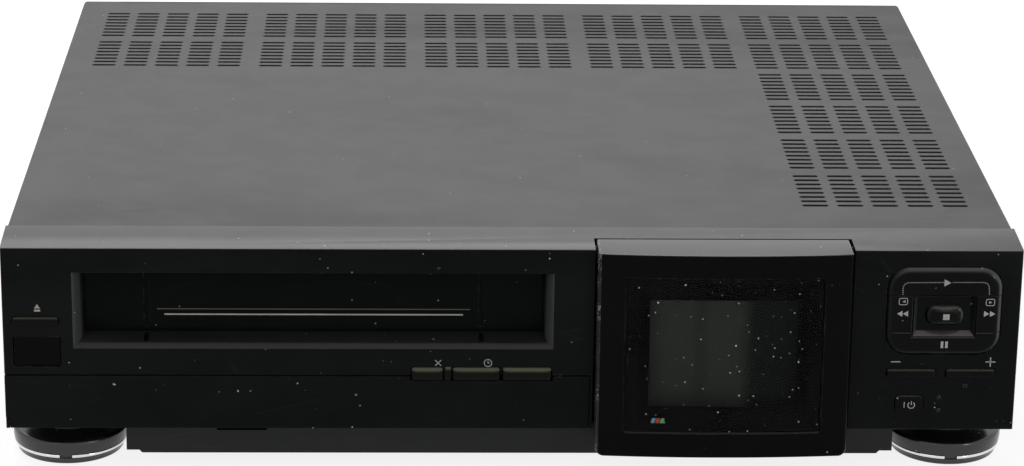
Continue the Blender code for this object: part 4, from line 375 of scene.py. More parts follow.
finishSettings = {
    "coverPaint": dict(tones=((0.0235, 0.0245, 0.0240), (0.0300, 0.0310, 0.0305)), roughness=0.46,
        specular=0.45, grain=(1500.0, 0.000010), edge=0.0005, wear=0.45, film=0.15,
        filmColour=(0.044, 0.044, 0.042), hair=0.06, dust=0.010, roughSpread=0.05,
        wearColour=(0.15, 0.15, 0.15), filmScale=4.5, hairScale=26.0, scuff=0.02),
    # panel: settled dust and a painted sheen on the top strip, a little on lower up-facing faces such as the
    # sill, and a painted highlight on faces turned to a side such as the mouth's bevels
    "panelPlastic": dict(tones=((0.0030, 0.0040, 0.0036), (0.0048, 0.0058, 0.0054)), roughness=0.38,
        specular=0.05, grain=(2600.0, 0.000007), edge=0.0004, wear=0.75, film=0.45, hair=0.05,
        dust=0.035, filmColour=(0.018, 0.020, 0.019), wearColour=(0.095, 0.093, 0.086), polish=0.45,
        coatRoughness=0.20, dustAndSheen=0.78, dustAndSheenColour=(0.145, 0.145, 0.143), scuff=0.10,
        dustAndSheenFrom=roofZ - 0.002, dustAndSheenBelow=0.10, rim=(0.78, 0.93), side=(0.060, 0.063, 0.062),
        dustColour=(0.72, 0.73, 0.71)),
    "flapPlastic": dict(tones=((0.0024, 0.0034, 0.0030), (0.0038, 0.0048, 0.0044)), roughness=0.38,
        specular=0.03, grain=(2600.0, 0.000007), edge=0.0005, wear=0.9, film=0.25, hair=0.05,
        dust=0.03, filmColour=(0.010, 0.012, 0.011), wearColour=(0.085, 0.086, 0.082), scuff=0.08),
    # keys: settled dust and a warm painted sheen on up-facing rims, and a painted highlight on faces turned to
    # the right, much less on those turned to the left
    "keyPlastic": dict(tones=((0.0030, 0.0038, 0.0034), (0.0046, 0.0054, 0.0050)), roughness=0.30,
        specular=0.05, grain=(2200.0, 0.000004), edge=0.0003, wear=0.30, film=0.30, dust=0.02,
        filmColour=(0.012, 0.012, 0.011), wearColour=(0.11, 0.10, 0.085), polish=1.0,
        coatRoughness=0.20, dustAndSheen=0.35, dustAndSheenColour=(0.15, 0.122, 0.105), rim=(0.84, 0.97),
        left=0.10, under=0.25, side=(0.040, 0.042, 0.043)),
    # bars: settled dust and a painted sheen on their upper faces
    "barPlastic": dict(tones=((0.0030, 0.0036, 0.0033), (0.0046, 0.0052, 0.0048)), roughness=0.30,
        specular=0.05, grain=(2200.0, 0.000004), edge=0.0003, wear=0.45, film=0.25, dust=0.06,
        filmColour=(0.012, 0.012, 0.011), wearColour=(0.12, 0.11, 0.085), polish=1.0,
        coatRoughness=0.12, dustAndSheen=0.55, dustAndSheenColour=(0.13, 0.125, 0.10), rim=(0.40, 0.78),
        up=(0.40, 0.75), under=0.8),
    # mode buttons: settled dust and a pale greenish painted sheen over the upper part of each cap
    "modePlastic": dict(tones=((0.0042, 0.0048, 0.0038), (0.0062, 0.0068, 0.0056)), roughness=0.32,
        specular=0.06, grain=(2200.0, 0.000004), edge=0.0003, wear=0.50, film=0.20, dust=0.05,
        filmColour=(0.020, 0.020, 0.016), wearColour=(0.13, 0.135, 0.11), polish=1.0,
        coatRoughness=0.12, dustAndSheen=0.85, dustAndSheenColour=(0.155, 0.158, 0.112), rim=(0.40, 0.75),
        up=(0.12, 0.46), under=0.8),
    # screen housing: settled dust and a painted sheen on its top face
    "screenGloss": dict(tones=((0.0012, 0.0018, 0.0014), (0.0019, 0.0025, 0.0021)), roughness=0.14,
        specular=0.04, grain=(900.0, 0.0000006), edge=0.0009, wear=0.50, film=0.15, dust=0.03,
        filmColour=(0.006, 0.008, 0.007), wearColour=(0.17, 0.150, 0.12), roughSpread=0.05,
        polish=0.9, coatRoughness=0.12, dustAndSheen=0.50, dustAndSheenColour=(0.11, 0.11, 0.108), scuff=0.05,
        rim=(0.35, 0.80), under=0.3, plainInside=(0.0889, 0.0602, 0.0440, 0.0364),
        flecks=(0.0349, 0.0018), dustColour=(0.55, 0.56, 0.54)),
    "footPlastic": dict(tones=((0.008, 0.009, 0.009), (0.013, 0.014, 0.014)), roughness=0.20,
        specular=0.60, grain=(1800.0, 0.000004), edge=0.0005, wear=0.25, film=0.25, dust=0.03,
        filmColour=(0.035, 0.036, 0.035), wearColour=(0.12, 0.12, 0.115)),
    "panSteel": dict(tones=((0.010, 0.011, 0.011), (0.015, 0.016, 0.016)), roughness=0.42,
        specular=0.20, grain=(1500.0, 0.000008), edge=0.0005, wear=0.3, film=0.4, hair=0.12,
        dust=0.015, filmColour=(0.034, 0.034, 0.033), wearColour=(0.12, 0.12, 0.12)),
    "maskInk": dict(tones=((0.0012, 0.0013, 0.0012), (0.0018, 0.0019, 0.0018)), roughness=0.6,
        specular=0.02, grain=(1200.0, 0.0000004), edge=0.0001),
    "blackedSteel": dict(tones=((0.006, 0.006, 0.007), (0.012, 0.012, 0.013)), roughness=0.40,
        specular=0.3, rolled=(500.0, 0.05, 0.000004), edge=0.0003, wear=0.3,
        wearColour=(0.10, 0.10, 0.10)),
    "brightRing": dict(tones=((0.78, 0.78, 0.79), (0.70, 0.70, 0.71)), roughness=0.10, metallic=1.0,
        rolled=(900.0, 0.2, 0.000002), edge=0.0002, roughSpread=0.06),
    "plainSteel": dict(tones=((0.46, 0.46, 0.47), (0.56, 0.56, 0.57)), roughness=0.32, metallic=1.0,
        rolled=(500.0, 0.05, 0.000006), edge=0.0003, film=0.15, filmColour=(0.3, 0.29, 0.27)),
    "zincPlate": dict(tones=((0.42, 0.43, 0.42), (0.52, 0.53, 0.50)), roughness=0.42, metallic=0.9,
        rolled=(300.0, 0.05, 0.000008), edge=0.0003, film=0.25, filmColour=(0.3, 0.29, 0.24)),
    "coreSteel": dict(tones=((0.10, 0.10, 0.105), (0.16, 0.16, 0.16)), roughness=0.50, metallic=0.7,
        rolled=(2400.0, 1.0, 0.00003), edge=0.0003),
    "turnedAluminium": dict(tones=((0.62, 0.62, 0.63), (0.72, 0.72, 0.73)), roughness=0.20,
        metallic=1.0, rolled=(900.0, 1.0, 0.000003), edge=0.0003),
    "rollerRubber": dict(tones=((0.014, 0.014, 0.015), (0.022, 0.022, 0.022)), roughness=0.72,
        specular=0.4, grain=(1800.0, 0.00001), edge=0.0005, film=0.2, filmColour=(0.05, 0.05, 0.048)),
    "whitePlastic": dict(tones=((0.58, 0.58, 0.55), (0.66, 0.66, 0.63)), roughness=0.42, specular=0.5,
        grain=(1500.0, 0.000006), edge=0.0004, film=0.2, filmColour=(0.45, 0.42, 0.35)),
    "socketPlastic": dict(tones=((0.016, 0.016, 0.017), (0.024, 0.024, 0.025)), roughness=0.38,
        specular=0.5, grain=(1800.0, 0.000006), edge=0.0004, film=0.2),
    "lampPlastic": dict(tones=((0.0075, 0.0050, 0.0045), (0.012, 0.0070, 0.0065)), roughness=0.16,
        specular=0.15, grain=(900.0, 0.000001), edge=0.0002, roughSpread=0.03),
    "printWhite": dict(tones=((0.46, 0.47, 0.44), (0.58, 0.59, 0.56)), roughness=0.55, specular=0.3,
        grain=(2400.0, 0.000003), edge=0.0001, film=0.2, filmColour=(0.30, 0.29, 0.26)),
    "printTan": dict(tones=((0.095, 0.082, 0.055), (0.13, 0.11, 0.075)), roughness=0.55, specular=0.3,
        grain=(2400.0, 0.000003), edge=0.0001, film=0.2, filmColour=(0.06, 0.055, 0.04)),
    "printDim": dict(tones=((0.020, 0.021, 0.020), (0.030, 0.031, 0.029)), roughness=0.55,
        specular=0.2, grain=(2400.0, 0.000003), edge=0.0001),
    "barBlue": dict(tones=((0.16, 0.33, 0.52), (0.20, 0.40, 0.60)), roughness=0.5, specular=0.3,
        edge=0.0001),
    "barRed": dict(tones=((0.42, 0.07, 0.05), (0.52, 0.10, 0.07)), roughness=0.5, specular=0.3,
        edge=0.0001),
    "barGreen": dict(tones=((0.16, 0.40, 0.14), (0.20, 0.48, 0.18)), roughness=0.5, specular=0.3,
        edge=0.0001),
}
finishes = {name: finish(name, **values) for name, values in finishSettings.items()}
print("finishes built:", len(finishes))


# Surfaces

def buildFacetShading():
    # merges the loose triangles and smooths across every edge that turns by less than the angle
    tree = bpy.data.node_groups.new("facetShading", "GeometryNodeTree")
    tree.interface.new_socket("Geometry", in_out="INPUT", socket_type="NodeSocketGeometry")
    tree.interface.new_socket("Geometry", in_out="OUTPUT", socket_type="NodeSocketGeometry")
    start, end = tree.nodes.new("NodeGroupInput"), tree.nodes.new("NodeGroupOutput")
    merge = tree.nodes.new("GeometryNodeMergeByDistance")
    merge.inputs["Distance"].default_value = 0.000002
    rounded = tree.nodes.new("GeometryNodeSetShadeSmooth")
    sharp = tree.nodes.new("GeometryNodeSetShadeSmooth")
    sharp.domain = "EDGE"
    sharp.inputs["Shade Smooth"].default_value = False
    angle = tree.nodes.new("GeometryNodeInputMeshEdgeAngle")
    over = tree.nodes.new("FunctionNodeCompare")
    over.operation = "GREATER_THAN"
    over.inputs[1].default_value = math.radians(32)
    tree.links.new(angle.outputs["Unsigned Angle"], over.inputs[0])
    tree.links.new(start.outputs[0], merge.inputs["Geometry"])
    tree.links.new(merge.outputs["Geometry"], rounded.inputs["Geometry"])
    tree.links.new(rounded.outputs["Geometry"], sharp.inputs["Geometry"])
    tree.links.new(over.outputs[0], sharp.inputs["Selection"])
    tree.links.new(sharp.outputs["Geometry"], end.inputs[0])
    return tree


facetShading = buildFacetShading()


def finishPiece(name, vertices, faces, material, body, slot, replaced=(), smooth=30, facing=None):
    # vertices and faces become one piece; doubled points are merged, so seams and poles are closed,
    # and an open sheet is turned until most of it looks along the facing direction
    mesh = bpy.data.meshes.new(name)
    mesh.from_pydata(np.asarray(vertices).reshape(-1, 3).tolist(), [], np.asarray(faces).tolist()
                     if isinstance(faces, np.ndarray) else faces)
    bm = bmesh.new()
    bm.from_mesh(mesh)
    bmesh.ops.remove_doubles(bm, verts=bm.verts, dist=0.000002)
    bmesh.ops.recalc_face_normals(bm, faces=bm.faces)
    if facing:
        side = sum(face.normal.dot(Vector(facing)) * face.calc_area() for face in bm.faces)
        if side < 0:
            bmesh.ops.reverse_faces(bm, faces=bm.faces)
    bm.to_mesh(mesh)
    bm.free()
    mesh.shade_smooth()
    mesh.set_sharp_from_angle(angle=math.radians(smooth))
    mesh.materials.append(finishes[material])
    piece = bpy.data.objects.new(name, mesh)
    bpy.context.scene.collection.objects.link(piece)
    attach(piece, body)
    if replaced:
        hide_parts(*replaced)
    return piece


def thicken(piece, thickness):
    # an open sheet gets its thickness inwards, and its edges are shaded by their angle afterwards
    wall = piece.modifiers.new("sheet", "SOLIDIFY")
    wall.thickness = thickness
    wall.offset = -1
    shading = piece.modifiers.new("facetShading", "NODES")
    shading.node_group = facetShading


def gridFaces(rows, columns, closedRows=False, closedColumns=False):
    # corner numbers of every cell of a grid of points that lies row by row
    r = np.arange(rows if closedRows else rows - 1)[:, None]
    c = np.arange(columns if closedColumns else columns - 1)[None, :]
    up, on = (r + 1) % rows, (c + 1) % columns
    cells = np.stack([r * columns + c, r * columns + on, up * columns + on, up * columns + c], axis=-1)
    return cells.reshape(-1, 4)


def merged(parts):
    # several (vertices, faces) surfaces joined into one list
    vertices, faces, count = [], [], 0
    for points, cells in parts:
        points = np.asarray(points).reshape(-1, 3)
        vertices.append(points)
        faces += [[index + count for index in cell] for cell in cells]
        count += len(points)
    return np.concatenate(vertices), faces


def radiusAlong(first, second, share):
    return first + (second - first) * share


def outlinePoints(halfWidth, halfHeight, corner, centre, arcSteps, sideSteps):
    # the rounded rectangle's own points round a centre
    core, out = roundedPath(halfWidth, halfHeight, corner, arcSteps, sideSteps)
    radii = np.broadcast_to(corner, 4)
    along = np.linspace(0, 1, sideSteps + 2)[1:-1]
    reach = []
    for k in range(4):
        reach += [np.full(arcSteps, radii[k]), radiusAlong(radii[k], radii[(k + 1) % 4], along)]
    reach = np.concatenate(reach)
    return core + out * reach[:, None] + np.array(centre)


def roundedPath(halfWidth, halfHeight, corner, arcSteps=7, sideSteps=8):
    # a rounded rectangle as a core point and an outward direction for each point of its outline:
    # the corner's centre with a turning direction, then points along the side with the side's direction;
    # corner is one radius, or one for each of the upper right, upper left, lower left and lower right
    cores, outward = [], []
    signs = ((1, 1), (-1, 1), (-1, -1), (1, -1))
    radii = np.broadcast_to(corner, 4)
    for quarter, (sx, sz) in enumerate(signs):
        turn = np.linspace(quarter * math.pi / 2, (quarter + 1) * math.pi / 2, arcSteps)
        here = np.array([sx * (halfWidth - radii[quarter]), sz * (halfHeight - radii[quarter])])
        nx, nz = signs[(quarter + 1) % 4]
        following = radii[(quarter + 1) % 4]
        after = np.array([nx * (halfWidth - following), nz * (halfHeight - following)])
        along = np.linspace(0, 1, sideSteps + 2)[1:-1, None]
        side = np.array([math.cos(turn[-1]), math.sin(turn[-1])])
        # on a side both ends' cores are carried to the side's own line, so the outline stays straight
        start, stop = here + side * radii[quarter], after + side * following
        cores += [np.repeat(here[None], arcSteps, 0),
                  start + (stop - start) * along - side * radiusAlong(radii[quarter], following, along)]
        outward += [np.stack([np.cos(turn), np.sin(turn)], 1), np.repeat(side[None], sideSteps, 0)]
    return np.concatenate(cores), np.concatenate(outward)


def cushion(centre, size, corner, edge, faceY, backY, arcSteps=7, sideSteps=8, inner=(0.35, 0.7),
            edgeSteps=5):
    # rings run outwards over the face, round the edge as a quarter circle and back down the side;
    # faceY and backY give the depth of the face and of the back as functions of x and z
    cx, cz = centre
    core, out = roundedPath(size[0] / 2, size[1] / 2, corner, arcSteps, sideSteps)
    flat = core + out * (corner - edge)
    rings = [flat * share for share in (0.0, *inner)]
    depths = [faceY(cx + ring[:, 0], cz + ring[:, 1]) for ring in rings]
    for turn in np.linspace(math.pi / 2, 0, edgeSteps):
        ring = flat + out * edge * math.cos(turn)
        rings.append(ring)
        depths.append(faceY(cx + ring[:, 0], cz + ring[:, 1]) + edge * (1 - math.sin(turn)))
    for share in (1.0, 0.6, 0.0):
        ring = (core + out * corner) * share
        rings.append(ring)
        depths.append(backY(cx + ring[:, 0], cz + ring[:, 1]))
    points = np.stack([np.stack([cx + ring[:, 0], depth, cz + ring[:, 1]], 1)
                       for ring, depth in zip(rings, depths)])
    return points, gridFaces(len(points), points.shape[1], closedColumns=True)


def closedSheet(front, backY):
    # a grid of points with a flat copy of it at the back's depth, joined by walls round the rim
    rows, columns = front.shape[:2]
    back = front.copy()
    back[..., 1] = backY
    rim = np.concatenate([np.arange(columns), np.arange(1, rows) * columns + columns - 1,
                          (rows - 1) * columns + np.arange(columns - 2, -1, -1),
                          np.arange(rows - 2, 0, -1) * columns])
    total, nextRim = rows * columns, np.roll(rim, -1)
    walls = np.stack([rim, nextRim, nextRim + total, rim + total], 1)
    faces = np.concatenate([gridFaces(rows, columns), gridFaces(rows, columns) + total, walls])
    return np.concatenate([front.reshape(-1, 3), back.reshape(-1, 3)]), faces


def level(depth):
    return lambda x, z: np.full(np.shape(x), depth)


def turnedSurface(profile, centre, steps=96, spin=(0.0, 2 * math.pi), closedProfile=False):
    # (radius, height) points of a profile carried round a vertical axis
    profile = np.asarray(profile, float)
    whole = abs(spin[1] - spin[0] - 2 * math.pi) < 0.001
    angle = np.linspace(*spin, steps, endpoint=not whole)[:, None]
    radius, height = profile[None, :, 0], profile[None, :, 1]
    points = np.stack([centre[0] + radius * np.cos(angle), centre[1] + radius * np.sin(angle),
                       centre[2] + height + 0 * angle], axis=-1)
    return points, gridFaces(steps, len(profile), closedRows=whole, closedColumns=closedProfile)


def arcProfile(centre, radius, start, end, steps=6):
    turn = np.radians(np.linspace(start, end, steps))
    return [(centre[0] + radius * c, centre[1] + radius * s) for c, s in zip(np.cos(turn), np.sin(turn))]


# Top cover

def makeCover():
    low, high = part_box("top_cover")
    cover = {"sheet": 0.0010, "side": high.x, "bend": 0.0020, "front": low.y, "back": high.y,
             "lip": 0.0120, "lipInset": 0.0060, "slotLength": 0.0116, "slotWidth": 0.0027, "slotPitch": 0.00589,
             "slotCorner": 0.0009, "rows": (2, 2, 2, 2, 6), "slots": 8, "columns": 5,
             "ventLeft": -0.20137, "groupPitch": 0.08241, "columnPitch": 0.01541, "rowPitch": 0.05355,
             "firstSlot": 0.17522}
    top, bend, side = high.z, cover["bend"], cover["side"]
    # across: up the left side, round its bend, over the roof with lines at every slot, and down the right
    turn = np.linspace(0, math.pi / 2, 7)
    wall = np.linspace(low.z, top - bend, 6)[:-1]
    leftX = np.concatenate([np.full(5, -side), -side + bend * (1 - np.cos(turn))])
    leftZ = np.concatenate([wall, top - bend + bend * np.sin(turn)])
    starts = np.array([cover["ventLeft"] + k * cover["groupPitch"] + j * cover["columnPitch"]
                       for k in range(len(cover["rows"])) for j in range(cover["columns"])])
    corner, length, width = cover["slotCorner"], cover["slotLength"], cover["slotWidth"]
    roofX = np.sort(np.concatenate([starts, starts + corner, starts + length - corner, starts + length]))
    acrossX = np.concatenate([leftX, roofX, -leftX[::-1]])
    acrossZ = np.concatenate([leftZ, np.full(len(roofX), top), leftZ[::-1]])
    slotY = np.array([cover["firstSlot"] - row * cover["rowPitch"] - s * cover["slotPitch"]
                      for row in range(max(cover["rows"])) for s in range(cover["slots"])])
    alongY = np.sort(np.concatenate([[cover["front"], cover["back"]], slotY - width / 2,
                                     slotY - width / 2 + corner, slotY + width / 2 - corner,
                                     slotY + width / 2]))
    points = np.stack([np.broadcast_to(acrossX, (len(alongY), len(acrossX))),
                       np.broadcast_to(alongY[:, None], (len(alongY), len(acrossX))),
                       np.broadcast_to(acrossZ, (len(alongY), len(acrossX)))], axis=-1)
    faces = gridFaces(len(alongY), len(acrossX))
    # a cell is open where its middle lies in a slot; the four corner cells of a slot keep one triangle
    quads = points.reshape(-1, 3)[faces]
    middle = quads.mean(1)
    groupOf = np.clip(((middle[:, 0] - cover["ventLeft"] + 0.002) // cover["groupPitch"]).astype(int), 0, 4)
    allowed = np.array(cover["rows"])[groupOf]
    column = (middle[:, 0, None] - starts[None, :])
    inX = ((column > 0) & (column < length)).any(1) & (middle[:, 2] > top - 0.0001)
    nearX = np.where((column > 0) & (column < length), np.minimum(column, length - column), 1).min(1)
    away = middle[:, 1, None] - slotY[None, :]
    hit = np.abs(away) < width / 2
    inY = hit.any(1)
    rowOf = np.where(inY, hit.argmax(1) // cover["slots"], 99)
    nearY = np.where(hit, width / 2 - np.abs(away), 1).min(1)
    inside = inX & inY & (rowOf < allowed)
    cornerCell = inside & (nearX < corner * 0.9) & (nearY < corner * 0.9)
    kept = faces[~inside].tolist()
    # at a corner cell, the point nearest the slot's middle is left out of the kept triangle
    slotMiddleX = starts[np.where((column > 0) & (column < length), 1, 0).argmax(1)] + length / 2
    slotMiddleY = slotY[hit.argmax(1)]
    cells, corners = faces[cornerCell], quads[cornerCell]
    distance = (np.abs(corners[:, :, 0] - slotMiddleX[cornerCell, None])
                + np.abs(corners[:, :, 1] - slotMiddleY[cornerCell, None]))
    order = (distance.argmin(1)[:, None] + np.array([[1, 2, 3]])) % 4
    kept += np.take_along_axis(cells, order, 1).tolist()
    # rear lip: hangs from the roof's back edge and draws in towards its foot
    lipX = np.linspace(-1, 1, 25)
    lipZ = np.array([top, top - 0.004, top - cover["lip"] + 0.002, top - cover["lip"]])
    half = side - bend - cover["lipInset"] * (top - lipZ) / cover["lip"]
    lip = np.stack([lipX[None, :] * half[:, None], np.full((4, 25), cover["back"]),
                    np.broadcast_to(lipZ[:, None], (4, 25))], axis=-1)
    vertices, faces = merged([(points, kept), (lip, gridFaces(4, 25))])
    piece = finishPiece("topCover", vertices, faces, "coverPaint", "chassis", "cover_steel",
                        ("top_cover",), smooth=25, facing=(0, 0, 1))
    thicken(piece, cover["sheet"])


makeCover()
print("top cover made")


# Buttons and keys on the front panel

def crownedFace(centre, size, proud, crown):
    # depth of a gently domed cap: highest in its middle and lower by the crown at its edges
    def depth(x, z):
        u = (x - centre[0]) / (size[0] / 2)
        v = (z - centre[1]) / (size[1] / 2)
        return panelY - proud + crown * (1 - np.clip(1 - u ** 2, 0, 1) * np.clip(1 - v ** 2, 0, 1))
    return depth


def barFace(centre, size, proud, crown):
    # depth of a rounded bar: an ellipse from its lower to its upper edge, drawn in at both ends
    def depth(x, z):
        v = np.clip(np.abs(z - centre[1]) / (size[1] / 2), 0, 1)
        end = np.clip((size[0] / 2 - np.abs(x - centre[0])) / (size[1] / 2), 0, 1)
        ends = 0.35 + 0.65 * np.sqrt(end * (2 - end))
        return panelY - proud + crown * (1 - np.sqrt(1 - 0.92 * v ** 2) * ends)
    return depth


def makeButtons():
    caps = {"eject_button": ("eject", 0.0012, 0.0025), "reset_button": ("reset", 0.0012, 0.003),
            "timer_button": ("timer", 0.0012, 0.003), "monitor_mode_button": ("monitor_mode", 0.0012, 0.003),
            "minus_button": ("minus", 0.0014, 0.0025), "plus_button": ("plus", 0.0014, 0.0025),
            "power_button": ("power", 0.0022, 0.0025)}
    lip = 0.0006
    for node, (body, corner, depth) in caps.items():
        low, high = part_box(node)
        wide = node in ("reset_button", "timer_button", "monitor_mode_button")
        side = 0.0003 if wide else lip
        drop, rise = (0.0, 0.0010) if wide else (lip, lip)
        x = (low.x + side, high.x - side)
        z = (low.z + drop, high.z - rise)
        centre, size = ((x[0] + x[1]) / 2, (z[0] + z[1]) / 2), (x[1] - x[0], z[1] - z[0])
        if node == "power_button":
            face = crownedFace(centre, size, 0.0015, 0.0007)
        else:
            face = barFace(centre, size, 0.0017, 0.0014 if wide else 0.0012)
        points, faces = cushion(centre, size, corner, 0.0003, face, level(panelY + depth), sideSteps=24,
                                inner=(0.15, 0.3, 0.45, 0.6, 0.72, 0.82, 0.9, 0.96))
        material = "modePlastic" if wide else "barPlastic"
        finishPiece(body + "Cap", points, faces, material, body, "key_plastic", (node,), smooth=40)
    # the fixed nub stands between the first two mode buttons
    nub = {"width": 0.0028, "drop": 0.0003, "corner": 0.0006, "edge": 0.0002, "proud": 0.0017,
           "crown": 0.0010, "back": 0.0010}
    low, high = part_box("timer_button")
    centre = (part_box("reset_button")[1].x + low.x) / 2, (low.z + high.z) / 2 - nub["drop"]
    size = (nub["width"], high.z - low.z - 2 * nub["drop"])
    points, faces = cushion(centre, size, nub["corner"], nub["edge"],
                            barFace(centre, size, nub["proud"], nub["crown"]), level(panelY + nub["back"]))
    finishPiece("modeNub", points, faces, "modePlastic", "chassis", "key_plastic", smooth=40)


makeButtons()


def makePad():
    pad = {"corner": 0.0095, "proud": 0.0020, "edge": 0.0024, "edgeWidth": 0.0045, "split": 0.0004,
           "depth": 0.0032, "upperShare": 0.315, "lowerShare": 0.733, "well": 0.0269,
           "wellLowShare": 0.787, "dish": 0.0005}
    low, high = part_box("play_key")
    x0, x1 = low.x, high.x
    z0, z1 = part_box("pause_key")[0].z, high.z
    cx, cz, hw, hh = (x0 + x1) / 2, (z0 + z1) / 2, (x1 - x0) / 2, (z1 - z0) / 2
    tall = z1 - z0
    upper, lower = z1 - tall * pad["upperShare"], z1 - tall * pad["lowerShare"]
    wellLow = z1 - tall * pad["wellLowShare"]
    wellX = (cx - pad["well"] / 2, cx + pad["well"] / 2)
    gap = 0.00015

    def inside(x, z):
        # distance in from the rounded outline of the whole pad
        qx = np.abs(x - cx) - (hw - pad["corner"])
        qz = np.abs(z - cz) - (hh - pad["corner"])
        return pad["corner"] - (np.hypot(np.maximum(qx, 0), np.maximum(qz, 0))
                                + np.minimum(np.maximum(qx, qz), 0))

    def rolled(distance, drop, width):
        # how far an edge rounded as a quarter ellipse drops at a distance in from it
        near = np.clip(1 - distance / width, 0, 1)
        return drop * (1 - np.sqrt(1 - near ** 2))

    def outlineHalf(z):
        over = np.clip(np.abs(z - cz) - (hh - pad["corner"]), 0, pad["corner"])
        return hw - pad["corner"] + np.sqrt(np.maximum(pad["corner"] ** 2 - over ** 2, 0))

    def depthOf(x, z, splits):
        drop = rolled(np.maximum(inside(x, z), 0), pad["edge"], pad["edgeWidth"])
        for distance in splits:
            drop = np.maximum(drop, rolled(np.maximum(distance, 0), pad["split"], pad["split"]))
        dish = pad["dish"] * np.exp(-((x - cx) / (hw * 0.75)) ** 2 - ((z - cz) / (hh * 0.75)) ** 2)
        return panelY - pad["proud"] + drop + dish

    def spaced(start, end, fineStart, fineEnd, count=26):
        # places between two ends, gathered towards an end that has a rounded edge
        t = np.linspace(0, 1, count)
        if fineStart and fineEnd:
            t = (1 - np.cos(t * math.pi)) / 2
        elif fineStart:
            t = 1 - np.cos(t * math.pi / 2)
        elif fineEnd:
            t = np.sin(t * math.pi / 2)
        return start + (end - start) * t

    def slab(name, body, node, zs, leftOf, rightOf, splitsOf):
        # rows of points between the left and right outline, lifted to the face; a flat copy closes the back
        t = (1 - np.cos(np.linspace(0, 1, 49) * math.pi)) / 2
        z = np.repeat(zs[:, None], len(t), 1)
        left, right = leftOf(zs)[:, None], rightOf(zs)[:, None]
        x = left + (right - left) * t[None, :]
        front = np.stack([x, depthOf(x, z, splitsOf(x, z)), z], axis=-1)
        finishPiece(name, *closedSheet(front, panelY + pad["depth"]), "keyPlastic", body, "key_plastic",
                    (node,), smooth=38)

    fullLeft, fullRight = (lambda z: cx - outlineHalf(z)), (lambda z: cx + outlineHalf(z))
    slab("playKey", "play", "play_key", spaced(upper + gap, z1, True, True), fullLeft, fullRight,
         lambda x, z: [z - upper - gap])
    middleZ = spaced(lower + gap, upper - gap, True, True, 20)
    slab("rewindKey", "rewind", "rewind_key", middleZ, fullLeft, lambda z: np.full(z.shape, wellX[0] - gap),
         lambda x, z: [upper - gap - z, z - lower - gap, wellX[0] - gap - x])
    slab("forwardKey", "forward", "forward_key", middleZ, lambda z: np.full(z.shape, wellX[1] + gap), fullRight,
         lambda x, z: [upper - gap - z, z - lower - gap, x - wellX[1] - gap])

    # the pause key is the lowest share; its upper edge steps down under the well
    zs = spaced(z0, lower - gap, True, True, 44)

    def pauseSplits(x, z):
        # away from the well's outline: the larger of the sideways and the downward distance
        well = np.maximum(np.maximum(wellX[0] - x, x - wellX[1]), wellLow - z) - gap
        return [lower - gap - z, well]
    slopes = np.array([0, 0.0002, 0.0004])
    t = np.sort(np.concatenate([(1 - np.cos(np.linspace(0, 1, 41) * math.pi)) / 2,
                                (np.concatenate([wellX[0] - gap - slopes, wellX[1] + gap + slopes])
                                 - (cx - hw)) / (2 * hw)]))
    half = outlineHalf(zs)
    x = cx - half[:, None] + 2 * half[:, None] * t[None, :]
    z = np.repeat(zs[:, None], len(t), 1)
    inWell = (x > wellX[0] - gap) & (x < wellX[1] + gap)
    z = np.where(inWell & (z > wellLow - gap), wellLow - gap, z)
    front = np.stack([x, depthOf(x, z, pauseSplits(x, z)), z], axis=-1)
    finishPiece("pauseKey", *closedSheet(front, panelY + pad["depth"]), "keyPlastic", "pause", "key_plastic",
                ("pause_key",), smooth=38)

    # sloped rim of the sunk plate: a ring of four flat slopes from the keys' face down to the plate
    rim = {"gap": 0.0002, "left": 0.0017, "right": 0.0017, "foot": 0.0021, "top": 0.0005, "high": 0.0018,
           "low": -0.0005, "back": -0.0010}
    (left, right), (foot, head) = ((start + rim["gap"], end - rim["gap"])
                                   for start, end in (wellX, (wellLow, upper)))
    outer = np.array([[left, foot], [right, foot], [right, head], [left, head]])
    inner = outer + np.array([[rim["left"], rim["foot"]], [-rim["right"], rim["foot"]],
                              [-rim["right"], -rim["top"]], [rim["left"], -rim["top"]]])
    rings = [np.column_stack([ring[:, 0], np.full(4, panelY - height), ring[:, 1]])
             for ring, height in ((outer, rim["back"]), (outer, rim["high"] - 0.0002),
                                  (outer * 0.985 + inner * 0.015, rim["high"]),
                                  (outer * 0.90 + inner * 0.10, rim["high"]), (inner, rim["low"]),
                                  (inner, rim["back"]))]
    points = np.stack(rings)
    finishPiece("padWellRim", points, gridFaces(*points.shape[:2], closedRows=True, closedColumns=True),
                "keyPlastic", "chassis", "key_plastic", smooth=20)

    low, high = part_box("stop_button")
    lip = 0.0006
    centre = ((low.x + high.x) / 2 + 0.0004, (low.z + high.z) / 2 + 0.0002)
    size = (high.x - low.x - 2 * lip + 0.0006, high.z - low.z - 2 * lip)
    face = crownedFace(centre, size, 0.0026, 0.0018)
    points, faces = cushion(centre, size, size[1] / 2 - 0.0004, 0.0010, face, level(panelY + 0.0060),
                            arcSteps=14, inner=(0.15, 0.3, 0.45, 0.6, 0.72, 0.84, 0.93))
    finishPiece("stopCap", points, faces, "keyPlastic", "stop", "key_plastic", ("stop_button",), smooth=40)
    return lambda x, z: depthOf(x, z, []), face


padFace, stopFace = makePad()
print("buttons and key pad made")


# Screen that flips up

